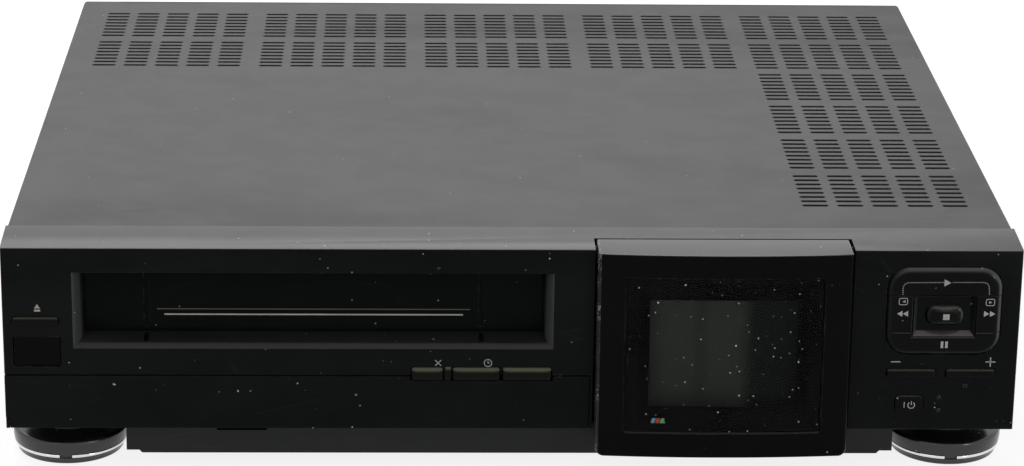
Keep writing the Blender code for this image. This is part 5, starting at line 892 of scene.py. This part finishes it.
def makeScreen():
    screen = {"bulge": 0.0025, "lean": 0.0030, "proud": 0.0055, "topCorner": 0.0009, "footCorner": 0.0035,
              "sideRoll": 0.0019, "topRoll": 0.0007, "footRoll": 0.0010, "wall": 0.0025, "windowInset": 0.0120,
              "windowWidth": 0.0840, "windowDrop": 0.0104, "windowHeight": 0.0689, "windowCorner": 0.0012,
              "sunk": 0.0003, "sheet": 0.0018, "back": 0.0133, "footStep": 0.0023}
    low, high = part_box("screen_housing")
    x0, x1, z0, z1 = low.x, high.x, low.z, high.z
    cx, cz, hw, hh = (x0 + x1) / 2, (z0 + z1) / 2, (x1 - x0) / 2, (z1 - z0) / 2

    def face(x, z):
        # bowed in plan as a parabola and leaning forward towards the foot
        bow = screen["bulge"] * (1 - ((x - cx) / hw) ** 2)
        return panelY - screen["proud"] - bow - screen["lean"] * (z1 - z) / (z1 - z0)

    ww, wh = screen["windowWidth"] / 2, screen["windowHeight"] / 2
    wcx, wcz = x0 + screen["windowInset"] + ww, roofZ - screen["windowDrop"] - wh
    arcs, sides = 8, 16
    corners = (screen["topCorner"], screen["topCorner"], screen["footCorner"], screen["footCorner"])
    outer = outlinePoints(hw, hh, corners, (cx, cz), arcs, sides)
    # the flat of the face ends where the rolled edges begin: wide rolls at the sides, tight ones above
    roll, top, foot = screen["sideRoll"], screen["topRoll"], screen["footRoll"]
    flat = outlinePoints(hw - roll, hh - (top + foot) / 2, tuple(0.8 * c for c in corners),
                         (cx, cz + (foot - top) / 2), arcs, sides)
    inner = outlinePoints(ww, wh, screen["windowCorner"], (wcx, wcz), arcs, sides)
    out = roundedPath(hw, hh, corners, arcs, sides)[1]
    drop = np.hypot(roll * out[:, 0], np.where(out[:, 1] > 0, top, foot) * out[:, 1])
    rings = []

    def addRing(place, depth):
        rings.append(np.stack([place[:, 0], depth, place[:, 1]], 1))
    # window's inner edge, its small lip, then the face out to the rolled edge, the side and the back
    addRing(inner, face(inner[:, 0], inner[:, 1]) + screen["wall"])
    addRing(inner, face(inner[:, 0], inner[:, 1]) + 0.00025)
    lip = 0.00025
    lipOut = outlinePoints(ww + lip, wh + lip, screen["windowCorner"] + lip, (wcx, wcz), arcs, sides)
    for share in np.linspace(0, 1, 8):
        place = lipOut + (flat - lipOut) * share
        addRing(place, face(place[:, 0], place[:, 1]))
    for turn in np.linspace(math.pi / 2, 0, 7)[1:]:
        place = flat + (outer - flat) * math.cos(turn)
        addRing(place, face(place[:, 0], place[:, 1]) + drop * (1 - math.sin(turn)))
    backY = panelY + screen["back"] - np.where(outer[:, 1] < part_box("front_bezel")[0].z + 0.0025,
                                               screen["footStep"], 0.0)
    addRing(outer, backY)
    wall = screen["wall"]
    back = outlinePoints(hw - wall, hh - wall, tuple(0.5 * c for c in corners), (cx, cz), arcs, sides)
    addRing(back, backY)
    addRing(back, face(back[:, 0], back[:, 1]) + wall)
    points = np.stack(rings)
    finishPiece("screenHousing", points, gridFaces(*points.shape[:2], closedRows=True, closedColumns=True),
                "screenGloss", "screen", "gloss_black", ("screen_housing",), smooth=32)
    return screen, face, (wcx, wcz, ww, wh)


screenSizes, screenFace, windowPlace = makeScreen()


def glassMaterial():
    # smoked window: clear to lamps through a transparent share for shadow rays, glossy outside, with pale
    # specks only where a ray enters its front face
    made, tree, shader = newMaterial("smokedWindow")
    shader.location = (600, 200)
    tint = placeGroup(tree, "film", (-400, 300), {"Scale": 14.0})["Mask"]
    specks = placeGroup(tree, "dust", (-400, 0), {"Share": 0.50, "Scale": 260.0, "Size": 0.09})["Mask"]
    normal = addNode(tree, "TexCoord", (-600, -300)).outputs["Normal"]
    outer = mathNode(tree, "LESS_THAN", (-200, -300), axes(tree, (-400, -300), normal)["Y"], -0.9)
    leaving = addNode(tree, "NewGeometry", (-400, -500)).outputs["Backfacing"]
    entering = mathNode(tree, "SUBTRACT", (-200, -500), 1.0, leaving)
    colour = mixColour(tree, (0, 300), tint, (0.62, 0.64, 0.62), (0.56, 0.58, 0.56))
    feed(tree, shader, {"Transmission Weight": 1.0, "IOR": 1.10, "Base Color": colour,
                        "Roughness": ramp(tree, (0, 0), tint, 0.0, 1.0, 0.02, 0.06)})
    clear = addNode(tree, "BsdfTransparent", (600, -200), {"Color": (0.45, 0.46, 0.45, 1)})
    shadow = addNode(tree, "LightPath", (600, 500)).outputs["Is Shadow Ray"]
    glass = mixShader(tree, (900, 200), shadow, shader.outputs[0], clear.outputs[0])
    speck = addNode(tree, "BsdfPrincipled", (600, 900), {"Base Color": (0.75, 0.78, 0.76, 1), "Roughness": 0.8})
    top = mixShader(tree, (1150, 200), product(tree, (0, -200), specks, outer, entering), glass,
                    speck.outputs[0])
    feed(tree, tree.nodes["Material Output"], {"Surface": top})
    tree.nodes["Material Output"].location = (1400, 200)
    return made


def displayMaterial():
    # grey display sheet behind the window with a painted reflection: a lit grey over its left and middle stands
    # in for soft light reflected off the sheet, fading to the sheet's own dark grey on its right, with painted
    # shade along its left edge and in one upright band left of its middle
    made, tree, shader = newMaterial("displayPaintedReflection")
    x = axes(tree, (-900, 0), ownPlace(tree, (-1100, 0)))["X"]
    across = ramp(tree, (-650, 0), x, 0.0955, 0.1035)
    grain = placeGroup(tree, "grain", (-650, 300), {"Scale": 1400.0, "Tone Scale": 24.0})
    # painted shade: one upright band left of the middle and the left edge are dimmed
    band = mathNode(tree, "SUBTRACT", (-500, -200), ramp(tree, (-650, -150), x, 0.0765, 0.0785),
                    ramp(tree, (-650, -300), x, 0.0805, 0.0845))
    edge = ramp(tree, (-650, -450), x, 0.0575, 0.0680, 1.0, 0.0)
    paintedShade = product(tree, (-350, -200), mathNode(tree, "MAXIMUM", (-350, -300), band, edge), 0.55)
    # painted reflection: the lit grey of the sheet's left and middle
    pale = mixColour(tree, (-350, 300), grain["Tone"], (0.030, 0.033, 0.029), (0.042, 0.044, 0.040))
    pale = mixColour(tree, (-200, 250), paintedShade, pale, (0.018, 0.020, 0.019))
    # the painted reflection fades to the sheet's own dark grey on its right
    colour = mixColour(tree, (-50, 200), across, pale, (0.002, 0.004, 0.003))
    bump = addNode(tree, "Bump", (-50, -200), {"Strength": 0.3, "Distance": 0.0000006,
                                               "Height": grain["Height"]})
    feed(tree, shader, {"Base Color": colour, "Roughness": 0.45, "Specular IOR Level": 0.10,
                        "Normal": bump.outputs["Normal"]})
    return made


finishes["smokedWindow"] = glassMaterial()
finishes["displayPaintedReflection"] = displayMaterial()


def makeWindow():
    wcx, wcz, ww, wh = windowPlace
    gap = 0.0003
    front = lambda x, z: screenFace(x, z) + screenSizes["sunk"]
    rear = lambda x, z: screenFace(x, z) + screenSizes["sunk"] + screenSizes["sheet"]
    points, faces = cushion((wcx, wcz), (2 * (ww - gap), 2 * (wh - gap)), 0.0011, 0.00025, front, rear,
                            sideSteps=20, inner=(0.2, 0.4, 0.6, 0.8))
    finishPiece("screenWindow", points, faces, "smokedWindow", "screen", "gloss_black", ("screen_window",),
                smooth=35)
    # printed mask on the window's inner face, with an opening for the display
    mask = {"left": 0.0577, "right": 0.1203, "low": 0.0372, "high": 0.0847, "thick": 0.00015}
    hole = ((mask["left"] + mask["right"]) / 2, (mask["low"] + mask["high"]) / 2)
    core, out = roundedPath(ww - 0.0006, wh - 0.0006, 0.001, 5, 16)
    holeCore, holeOut = roundedPath((mask["right"] - mask["left"]) / 2, (mask["high"] - mask["low"]) / 2,
                                    0.0006, 5, 16)
    outside = core + out * 0.001 + np.array([wcx, wcz])
    opening = holeCore + holeOut * 0.0006 + np.array(hole)
    behind = 0.00005
    rings = []
    for share, depth in [(share, behind) for share in (0.0, 0.25, 0.5, 0.75, 1.0)] + \
            [(share, behind + mask["thick"]) for share in (1.0, 0.5, 0.0)]:
        place = opening + (outside - opening) * share
        rings.append(np.stack([place[:, 0], rear(place[:, 0], place[:, 1]) + depth, place[:, 1]], 1))
    points = np.stack(rings)
    finishPiece("windowMask", points, gridFaces(*points.shape[:2], closedRows=True, closedColumns=True),
                "maskInk", "screen", "gloss_black")


makeWindow()
print("screen made")


# Feet and their bright rings

def makeFeet():
    foot = {"radius": 0.0249, "neck": 0.0149, "height": 0.0210, "rim": 0.0110, "grooveLow": 0.0030,
            "grooveHigh": 0.0050, "groove": 0.0232, "sole": 0.0217}
    ring = {"radius": 0.0245, "sheet": 0.0010, "low": 0.0033, "high": 0.0047, "opening": 0.0055}
    for name in ("foot_front_left", "foot_front_right", "foot_rear_left", "foot_rear_right"):
        low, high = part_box(name)
        centre = ((low.x + high.x) / 2, (low.y + high.y) / 2, 0)
        r, rim = foot["radius"], foot["rim"]
        profile = [(0, foot["height"]), (foot["neck"], foot["height"]), (foot["neck"], rim + 0.0022)]
        profile += [(foot["neck"] + 0.0012, rim + 0.0014), (r - 0.0040, rim + 0.0008)]
        profile += arcProfile((r - 0.0016, rim - 0.0014), 0.0016, 90, 0, 7)
        profile += [(r, foot["grooveHigh"] + 0.0022), (r - 0.0003, foot["grooveHigh"]),
                    (foot["groove"], foot["grooveHigh"]), (foot["groove"], foot["grooveLow"]),
                    (r - 0.0009, foot["grooveLow"])]
        profile += arcProfile((r - 0.0030, 0.0012), 0.0012, 10, -90, 6)
        profile += [(foot["sole"] * 0.5, 0.0), (0, 0.0)]
        points, faces = turnedSurface(profile, centre)
        word = name.split("_")
        finishPiece("foot" + word[1].title() + word[2].title(), points, faces, "footPlastic", "chassis",
                    "foot_plastic", (name,), smooth=32)
    for word in ("left", "right"):
        low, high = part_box("foot_front_" + word)
        centre = ((low.x + high.x) / 2, (low.y + high.y) / 2, 0)
        half = math.asin(ring["opening"] / 2 / ring["radius"])
        middle = (ring["low"] + ring["high"]) / 2
        tall = (ring["high"] - ring["low"]) / 2
        inner, outer = ring["radius"] - ring["sheet"], ring["radius"]
        profile = [(inner, ring["low"]), (outer - 0.0004, ring["low"])]
        profile += arcProfile((outer - 0.0004, middle - tall + 0.0004), 0.0004, -90, 0, 4)[1:]
        profile += arcProfile((outer - 0.0004, middle + tall - 0.0004), 0.0004, 0, 90, 4)
        profile += [(inner, ring["high"])]
        points, faces = turnedSurface(profile, centre, 90, (-math.pi / 2 + half, 1.5 * math.pi - half),
                                      closedProfile=True)
        columns = len(profile)
        ends = [list(range(columns)), [(len(points) - 1) * columns + i for i in range(columns)]]
        finishPiece("footRing" + word.title(), points, faces.tolist() + ends, "brightRing", "chassis",
                    "bright_trim", ("foot_ring_" + word,), smooth=30)


makeFeet()
print("feet made")


# Printed marks

def polygon(*points):
    points = np.array(points, float)
    return points, [list(range(len(points)))]


def rectangle(x0, z0, x1, z1):
    return polygon((x0, z0), (x1, z0), (x1, z1), (x0, z1))


def stroke(path, width, closed=False):
    # a line of even width: the path's points moved half the width to each side of its direction
    path = np.array(path, float)
    ahead = np.roll(path, -1, 0) - path
    behind = path - np.roll(path, 1, 0)
    if not closed:
        ahead[-1], behind[0] = behind[-1], ahead[0]
    ahead /= np.linalg.norm(ahead, axis=1, keepdims=True)
    behind /= np.linalg.norm(behind, axis=1, keepdims=True)
    along = ahead + behind
    along /= np.linalg.norm(along, axis=1, keepdims=True)
    side = np.stack([-along[:, 1], along[:, 0]], 1) / np.maximum((along * ahead).sum(1), 0.5)[:, None]
    points = np.stack([path - side * width / 2, path + side * width / 2], 1)
    return points.reshape(-1, 2), gridFaces(len(path), 2, closedRows=closed).tolist()


def circle(x, z, radius, start=0, end=360, steps=28):
    turn = np.radians(np.linspace(start, end, steps))
    return np.stack([x + radius * np.cos(turn), z + radius * np.sin(turn)], 1)


def sliced(points, faces, step=0.0005):
    # flat outlines cut along a grid, so that they can follow a curved face
    bm = bmesh.new()
    corners = [bm.verts.new((x, 0, z)) for x, z in np.asarray(points, dtype=float).tolist()]
    for face in faces:
        bm.faces.new([corners[index] for index in face])
    for axis in (0, 2):
        along = [vert.co[axis] for vert in bm.verts]
        for cut in np.arange(min(along) + step, max(along), step):
            place, normal = [0, 0, 0], [0, 0, 0]
            place[axis], normal[axis] = cut, 1
            bmesh.ops.bisect_plane(bm, geom=bm.verts[:] + bm.edges[:] + bm.faces[:], plane_co=place,
                                   plane_no=normal)
    bm.verts.index_update()
    made = np.array([(vert.co.x, vert.co.z) for vert in bm.verts])
    cells = [[vert.index for vert in face.verts] for face in bm.faces]
    bm.free()
    return made, cells


def printMarks(name, body, material, shapes, depth, thickness=0.00004, sliceUp=False):
    # flat shapes in x and z are laid on a face given as depth over x and z, and get a thin film's height
    if sliceUp:
        shapes = [sliced(*shape) for shape in shapes]
    lifted = [(np.stack([points[:, 0], depth(points[:, 0], points[:, 1]) - thickness, points[:, 1]], 1), faces)
              for points, faces in shapes]
    vertices, cells = merged(lifted)
    piece = finishPiece(name, vertices, cells, material, body, "bright_trim", facing=(0, -1, 0))
    thicken(piece, thickness * 0.9)


def arrow(x0, z0, x1, z1):
    # a triangle that points from its base at x0 to its tip at x1
    return polygon((x0, z0), (x0, z1), (x1, (z0 + z1) / 2))


def makeMarks():
    # lines along the flap: start, end, height and half width
    lines = {"Tan": (-0.15129, -0.01818, 0.07455, 0.00022), "White": (-0.14820, -0.02115, 0.07212, 0.00032)}
    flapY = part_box("cassette_flap")[0].y
    for name, (start, end, height, half) in lines.items():
        printMarks("flapLine" + name, "flap", "print" + name,
                   [rectangle(start, height - half, end, height + half)], level(flapY))

    # symbols on the panel: centres, half widths and radii, and the ends of plain bars
    panel = {"eject": (-0.20106, 0.0766), "cross": (-0.0317, 0.0537), "clock": (-0.0105, 0.0537),
             "half": 0.0013, "ejectBar": 0.0009, "ejectFoot": 0.0014, "ejectTip": 0.0034,
             "crossWidth": 0.00033, "clockRadius": 0.0016, "clockWidth": 0.00031, "handWidth": 0.00032,
             "bars": ((0.16175, 0.05440, 0.16585, 0.05485), (0.20235, 0.05440, 0.20665, 0.05485),
                      (0.20427, 0.05250, 0.20473, 0.05675)),
             "dot": ((0.1936, 0.0431), (0.1950, 0.0431), (0.1950, 0.0443), (0.1936, 0.0443)),
             "dotWidth": 0.0004}
    (ex, ez), (crossX, crossZ), (clockX, clockZ) = panel["eject"], panel["cross"], panel["clock"]
    half, foot = panel["half"], ez + panel["ejectFoot"]
    front = [polygon((ex - half, foot), (ex + half, foot), (ex, ez + panel["ejectTip"])),
             rectangle(ex - half, ez, ex + half, ez + panel["ejectBar"])]
    front += [stroke([(crossX - half, crossZ - rise), (crossX + half, crossZ + rise)], panel["crossWidth"])
              for rise in (half, -half)]
    front += [stroke(circle(clockX, clockZ, panel["clockRadius"])[:-1], panel["clockWidth"], closed=True),
              stroke([(clockX, clockZ + 0.0010), (clockX, clockZ), (clockX + 0.0007, clockZ)],
                     panel["handWidth"])]
    front += [rectangle(*bar) for bar in panel["bars"]]
    printMarks("panelMarks", "chassis", "printWhite", front, level(panelY))
    printMarks("panelDot", "chassis", "printDim", [stroke(panel["dot"], panel["dotWidth"], closed=True)],
               level(panelY))

    # play key: arrow in a gap of a dotted line that runs round the key's upper part
    dotted = {"start": (0.16510, 0.0860), "leftTurn": (0.1675, 0.0888, 0.0025),
              "rightTurn": (0.1990, 0.0888, 0.0027), "end": (0.2019, 0.0862), "pitch": 0.00085,
              "radius": 0.00024, "gap": (0.1822, 0.1859), "arrow": (0.18250, 0.08955, 0.18545, 0.09285)}
    path = np.concatenate([[dotted["start"]], circle(*dotted["leftTurn"], 180, 90, 8),
                           circle(*dotted["rightTurn"], 90, 0, 8), [dotted["end"]]])
    reach = np.concatenate([[0], np.cumsum(np.linalg.norm(np.diff(path, axis=0), axis=1))])
    stops = np.arange(0, reach[-1], dotted["pitch"])
    dots = np.stack([np.interp(stops, reach, path[:, 0]), np.interp(stops, reach, path[:, 1])], 1)
    shapes = [polygon(*circle(x, z, dotted["radius"], 0, 315, 8)) for x, z in dots
              if x < dotted["gap"][0] or x > dotted["gap"][1]]
    shapes.append(arrow(*dotted["arrow"]))
    printMarks("playMarks", "play", "printWhite", shapes, padFace, sliceUp=True)
    # skip keys: two arrows, and a small frame with an arrow over them
    skips = {"rewind": {"arrows": ((0.16530, 0.16300), (0.16775, 0.16545)), "frame": (0.16546, 0.08275),
                        "framed": (0.16640, 0.08215, 0.16500, 0.08335)},
             "forward": {"arrows": ((0.20010, 0.20240), (0.20265, 0.20495)), "frame": (0.20256, 0.08245),
                         "framed": (0.20200, 0.08185, 0.20340, 0.08305)}}
    for key, skip in skips.items():
        shapes = [arrow(base, 0.07590, tip, 0.07855) for base, tip in skip["arrows"]]
        shapes += [stroke(roundFrame(*skip["frame"], 0.0036, 0.0029), 0.00030, closed=True),
                   arrow(*skip["framed"])]
        printMarks(key + "Marks", key, "printWhite", shapes, padFace, sliceUp=True)
    pauseBars = ((0.18242, 0.06165, 0.18352, 0.06465), (0.18430, 0.06165, 0.18540, 0.06465))
    stopSquare = (0.1826, 0.0747, 0.1854, 0.0773)
    printMarks("pauseMarks", "pause", "printWhite", [rectangle(*bar) for bar in pauseBars], padFace,
               sliceUp=True)
    printMarks("stopMarks", "stop", "printWhite", [rectangle(*stopSquare)], stopFace, 0.00016, sliceUp=True)
    power = {"size": (0.0123, 0.0075), "proud": 0.0015, "crown": 0.0007}
    low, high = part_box("power_button")
    px, pz = (low.x + high.x) / 2, (low.z + high.z) / 2
    printMarks("powerMarks", "power", "printWhite",
               [stroke(circle(px + 0.0008, pz - 0.0001, 0.00145, 125, 415, 24), 0.00038),
                rectangle(px + 0.00062, pz + 0.0001, px + 0.00098, pz + 0.00175),
                rectangle(px - 0.0024, pz - 0.0013, px - 0.00205, pz + 0.0013)],
               crownedFace((px, pz), *power.values()), 0.00012)

    # three slanted bars in the window's lower left corner
    onGlass = lambda x, z: screenFace(x, z) + screenSizes["sunk"]
    bar = {"first": 0.05885, "pitch": 0.00190, "wide": 0.0015, "slant": 0.0007, "low": 0.0301, "high": 0.0323}
    for index, name in enumerate(("Blue", "Red", "Green")):
        x = bar["first"] + index * bar["pitch"]
        top = x + bar["slant"]
        printMarks("colourBar" + name, "screen", "bar" + name,
                   [polygon((x, bar["low"]), (x + bar["wide"], bar["low"]), (top + bar["wide"], bar["high"]),
                            (top, bar["high"]))], onGlass)


def roundFrame(x, z, width, height):
    core, out = roundedPath(width / 2, height / 2, 0.0007, 4, 1)
    return core + out * 0.0007 + np.array([x, z])


makeMarks()
print("marks printed")


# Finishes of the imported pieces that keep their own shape

nodeFinishes = {
    "panelPlastic": ("front_bezel", "drop_down_door", "pad_frame"),
    "flapPlastic": ("cassette_flap",),
    "panSteel": ("bottom_pan", "rear_panel", "screen_cover"),
    "screenGloss": ("sensor_window",),
    "displayPaintedReflection": ("lcd_module",),
    "lampPlastic": ("timer_lamp", "standby_lamp"),
    "plainSteel": ("cover_screw_left", "cover_screw_right", "pinch_arm", "basket_slider", "capstan_flywheel",
                   "audio_head", "erase_head"),
    "blackedSteel": ("screen_pin_left", "screen_pin_right"),
    "zincPlate": ("deck_plate", "cassette_basket", "basket_guide_left", "basket_guide_right", "tuner"),
    "turnedAluminium": ("drum_base", "upper_drum"),
    "coreSteel": ("power_transformer", "loading_motor", "loudspeaker"),
    "rollerRubber": ("pinch_roller",),
    "whitePlastic": ("supply_reel", "takeup_reel", "loading_post_left", "loading_post_right"),
    "socketPlastic": ("scart_socket", "mains_inlet"),
}


def boardMaterial():
    # green laminate: tracks as bands of a Voronoi pattern under a clear green mask
    made, tree, shader = newMaterial("boardLaminate")
    cells = addNode(tree, "TexVoronoi", (-800, 0), {"Vector": ownPlace(tree, (-1100, 0)), "Scale": 160.0,
                                                    "Randomness": 0.35}, feature="DISTANCE_TO_EDGE")
    tracks = ramp(tree, (-500, 0), cells.outputs["Distance"], 0.08, 0.12)
    grain = placeGroup(tree, "grain", (-800, 300), {"Scale": 1600.0})["Tone"]
    base = mixColour(tree, (-500, 300), grain, (0.010, 0.060, 0.026), (0.014, 0.080, 0.034))
    bump = addNode(tree, "Bump", (-200, -300), {"Strength": 1.0, "Distance": 0.00003, "Height": tracks})
    feed(tree, shader, {"Base Color": mixColour(tree, (-200, 200), tracks, (0.030, 0.140, 0.060), base),
                        "Roughness": ramp(tree, (-200, -100), tracks, 0.0, 1.0, 0.30, 0.45),
                        "Normal": bump.outputs["Normal"]})
    return made


finishes["boardLaminate"] = boardMaterial()
nodeFinishes["boardLaminate"] = ("main_board", "key_board")
for material, names in nodeFinishes.items():
    for name in names:
        node = cadNodes[name]
        for place in node.material_slots:
            place.link = "OBJECT"
            place.material = finishes[material]
        shading = node.modifiers.new("facetShading", "NODES")
        shading.node_group = facetShading
left = [name for name, node in cadNodes.items()
        if not node.hide_render and not any(name in names for names in nodeFinishes.values())]
print("packed pieces finished; without a finish:", left)


# Floor, light and camera

def seenRays(tree):
    # 1 for rays from the camera, off a gloss or through the window, and 0 for the rays that light the scene
    path = addNode(tree, "LightPath", (-800, -200)).outputs
    seen = mathNode(tree, "MAXIMUM", (-500, -200), path["Is Camera Ray"], path["Is Glossy Ray"])
    return mathNode(tree, "MAXIMUM", (-300, -200), seen, path["Is Transmission Ray"])


def makeStage():
    stage = {"size": 8.0, "floorTone": (0.30, 0.30, 0.297), "floorLift": 0.84, "worldLight": 0.42}
    mesh = bpy.data.meshes.new("floor")
    half = stage["size"] / 2
    across = np.linspace(-half, half, 9)
    x, y = np.meshgrid(across, across)
    points = np.stack([x, y, 0 * x], axis=-1).reshape(-1, 3)
    mesh.from_pydata(points.tolist(), [], gridFaces(9, 9).tolist())
    floor = bpy.data.objects.new("floor", mesh)
    bpy.context.scene.collection.objects.link(floor)
    made, tree, shader = newMaterial("paleFloor")
    paper = noise(tree, (-500, 200), ownPlace(tree, (-800, 200)), 60.0, 4.0)["Fac"]
    tone = stage["floorTone"]
    colour = mixColour(tree, (-200, 200), paper, tuple(0.98 * c for c in tone), tone)
    feed(tree, shader, {"Roughness": 0.9, "Specular IOR Level": 0.1, "Emission Color": (1, 1, 1, 1),
                        "Base Color": colour,
                        "Emission Strength": product(tree, (-100, -200), seenRays(tree), stage["floorLift"])})
    mesh.materials.append(made)

    world = bpy.data.worlds.new("studio")
    bpy.context.scene.world = world
    world.use_nodes = True
    tree = world.node_tree
    light = tree.nodes["Background"]
    feed(tree, light, {"Color": (1, 1, 1, 1), "Strength": stage["worldLight"]})
    white = addNode(tree, "Background", (0, -200), {"Strength": 1.0, "Color": (1, 1, 1, 1)})
    sky = mixShader(tree, (200, 0), seenRays(tree), light.outputs[0], white.outputs[0])
    feed(tree, tree.nodes["World Output"], {"Surface": sky})


def addSoftLamp(name, place, target, size, power):
    lamp = bpy.data.lights.new(name, "AREA")
    lamp.shape = "RECTANGLE"
    lamp.size, lamp.size_y = size
    lamp.energy = power
    made = bpy.data.objects.new(name, lamp)
    bpy.context.scene.collection.objects.link(made)
    made.location = place
    made.rotation_euler = (Vector(target) - Vector(place)).to_track_quat("-Z", "Y").to_euler()
    made.visible_camera = False


def makeCamera():
    # fitted to the photograph: place, heading, downward tilt and a slight roll
    view = {"place": (-0.045051, -1.539548, 0.579729), "yaw": 1.874, "pitch": 19.143, "roll": 0.793,
            "lens": 119.20, "sensor": 36.0}
    yaw, pitch, roll = (math.radians(view[key]) for key in ("yaw", "pitch", "roll"))
    ahead = Vector((math.sin(yaw) * math.cos(pitch), math.cos(yaw) * math.cos(pitch), -math.sin(pitch)))
    side = Vector((math.cos(yaw), -math.sin(yaw), 0))
    up = side.cross(ahead)
    across = side * math.cos(roll) + up * math.sin(roll)
    upward = up * math.cos(roll) - side * math.sin(roll)
    turn = Matrix((across, upward, -ahead)).transposed().to_4x4()
    lens = bpy.data.cameras.new("photoView")
    lens.lens = view["lens"]
    lens.sensor_width = view["sensor"]
    lens.sensor_fit = "HORIZONTAL"
    camera = bpy.data.objects.new("photoView", lens)
    bpy.context.scene.collection.objects.link(camera)
    camera.matrix_world = Matrix.Translation(Vector(view["place"])) @ turn
    bpy.context.scene.camera = camera


makeStage()
# each lamp's place, target, size in metres and power in watts
lamps = {"skyPanel": ((-0.35, 1.25, 1.75), (0, 0.05, 0.05), (1.8, 1.2), 18),
         "sidePanel": ((1.59, -1.88, 0.40), (0.15, -0.1, 0.06), (0.36, 0.36), 6),
         "frontPanel": ((-1.3, -1.9, 1.4), (0, -0.1, 0.05), (1.4, 1.2), 4)}
for name, lamp in lamps.items():
    addSoftLamp(name, *lamp)
makeCamera()
bpy.context.scene.view_settings.view_transform = "Standard"
print("stage, lamps and camera placed")
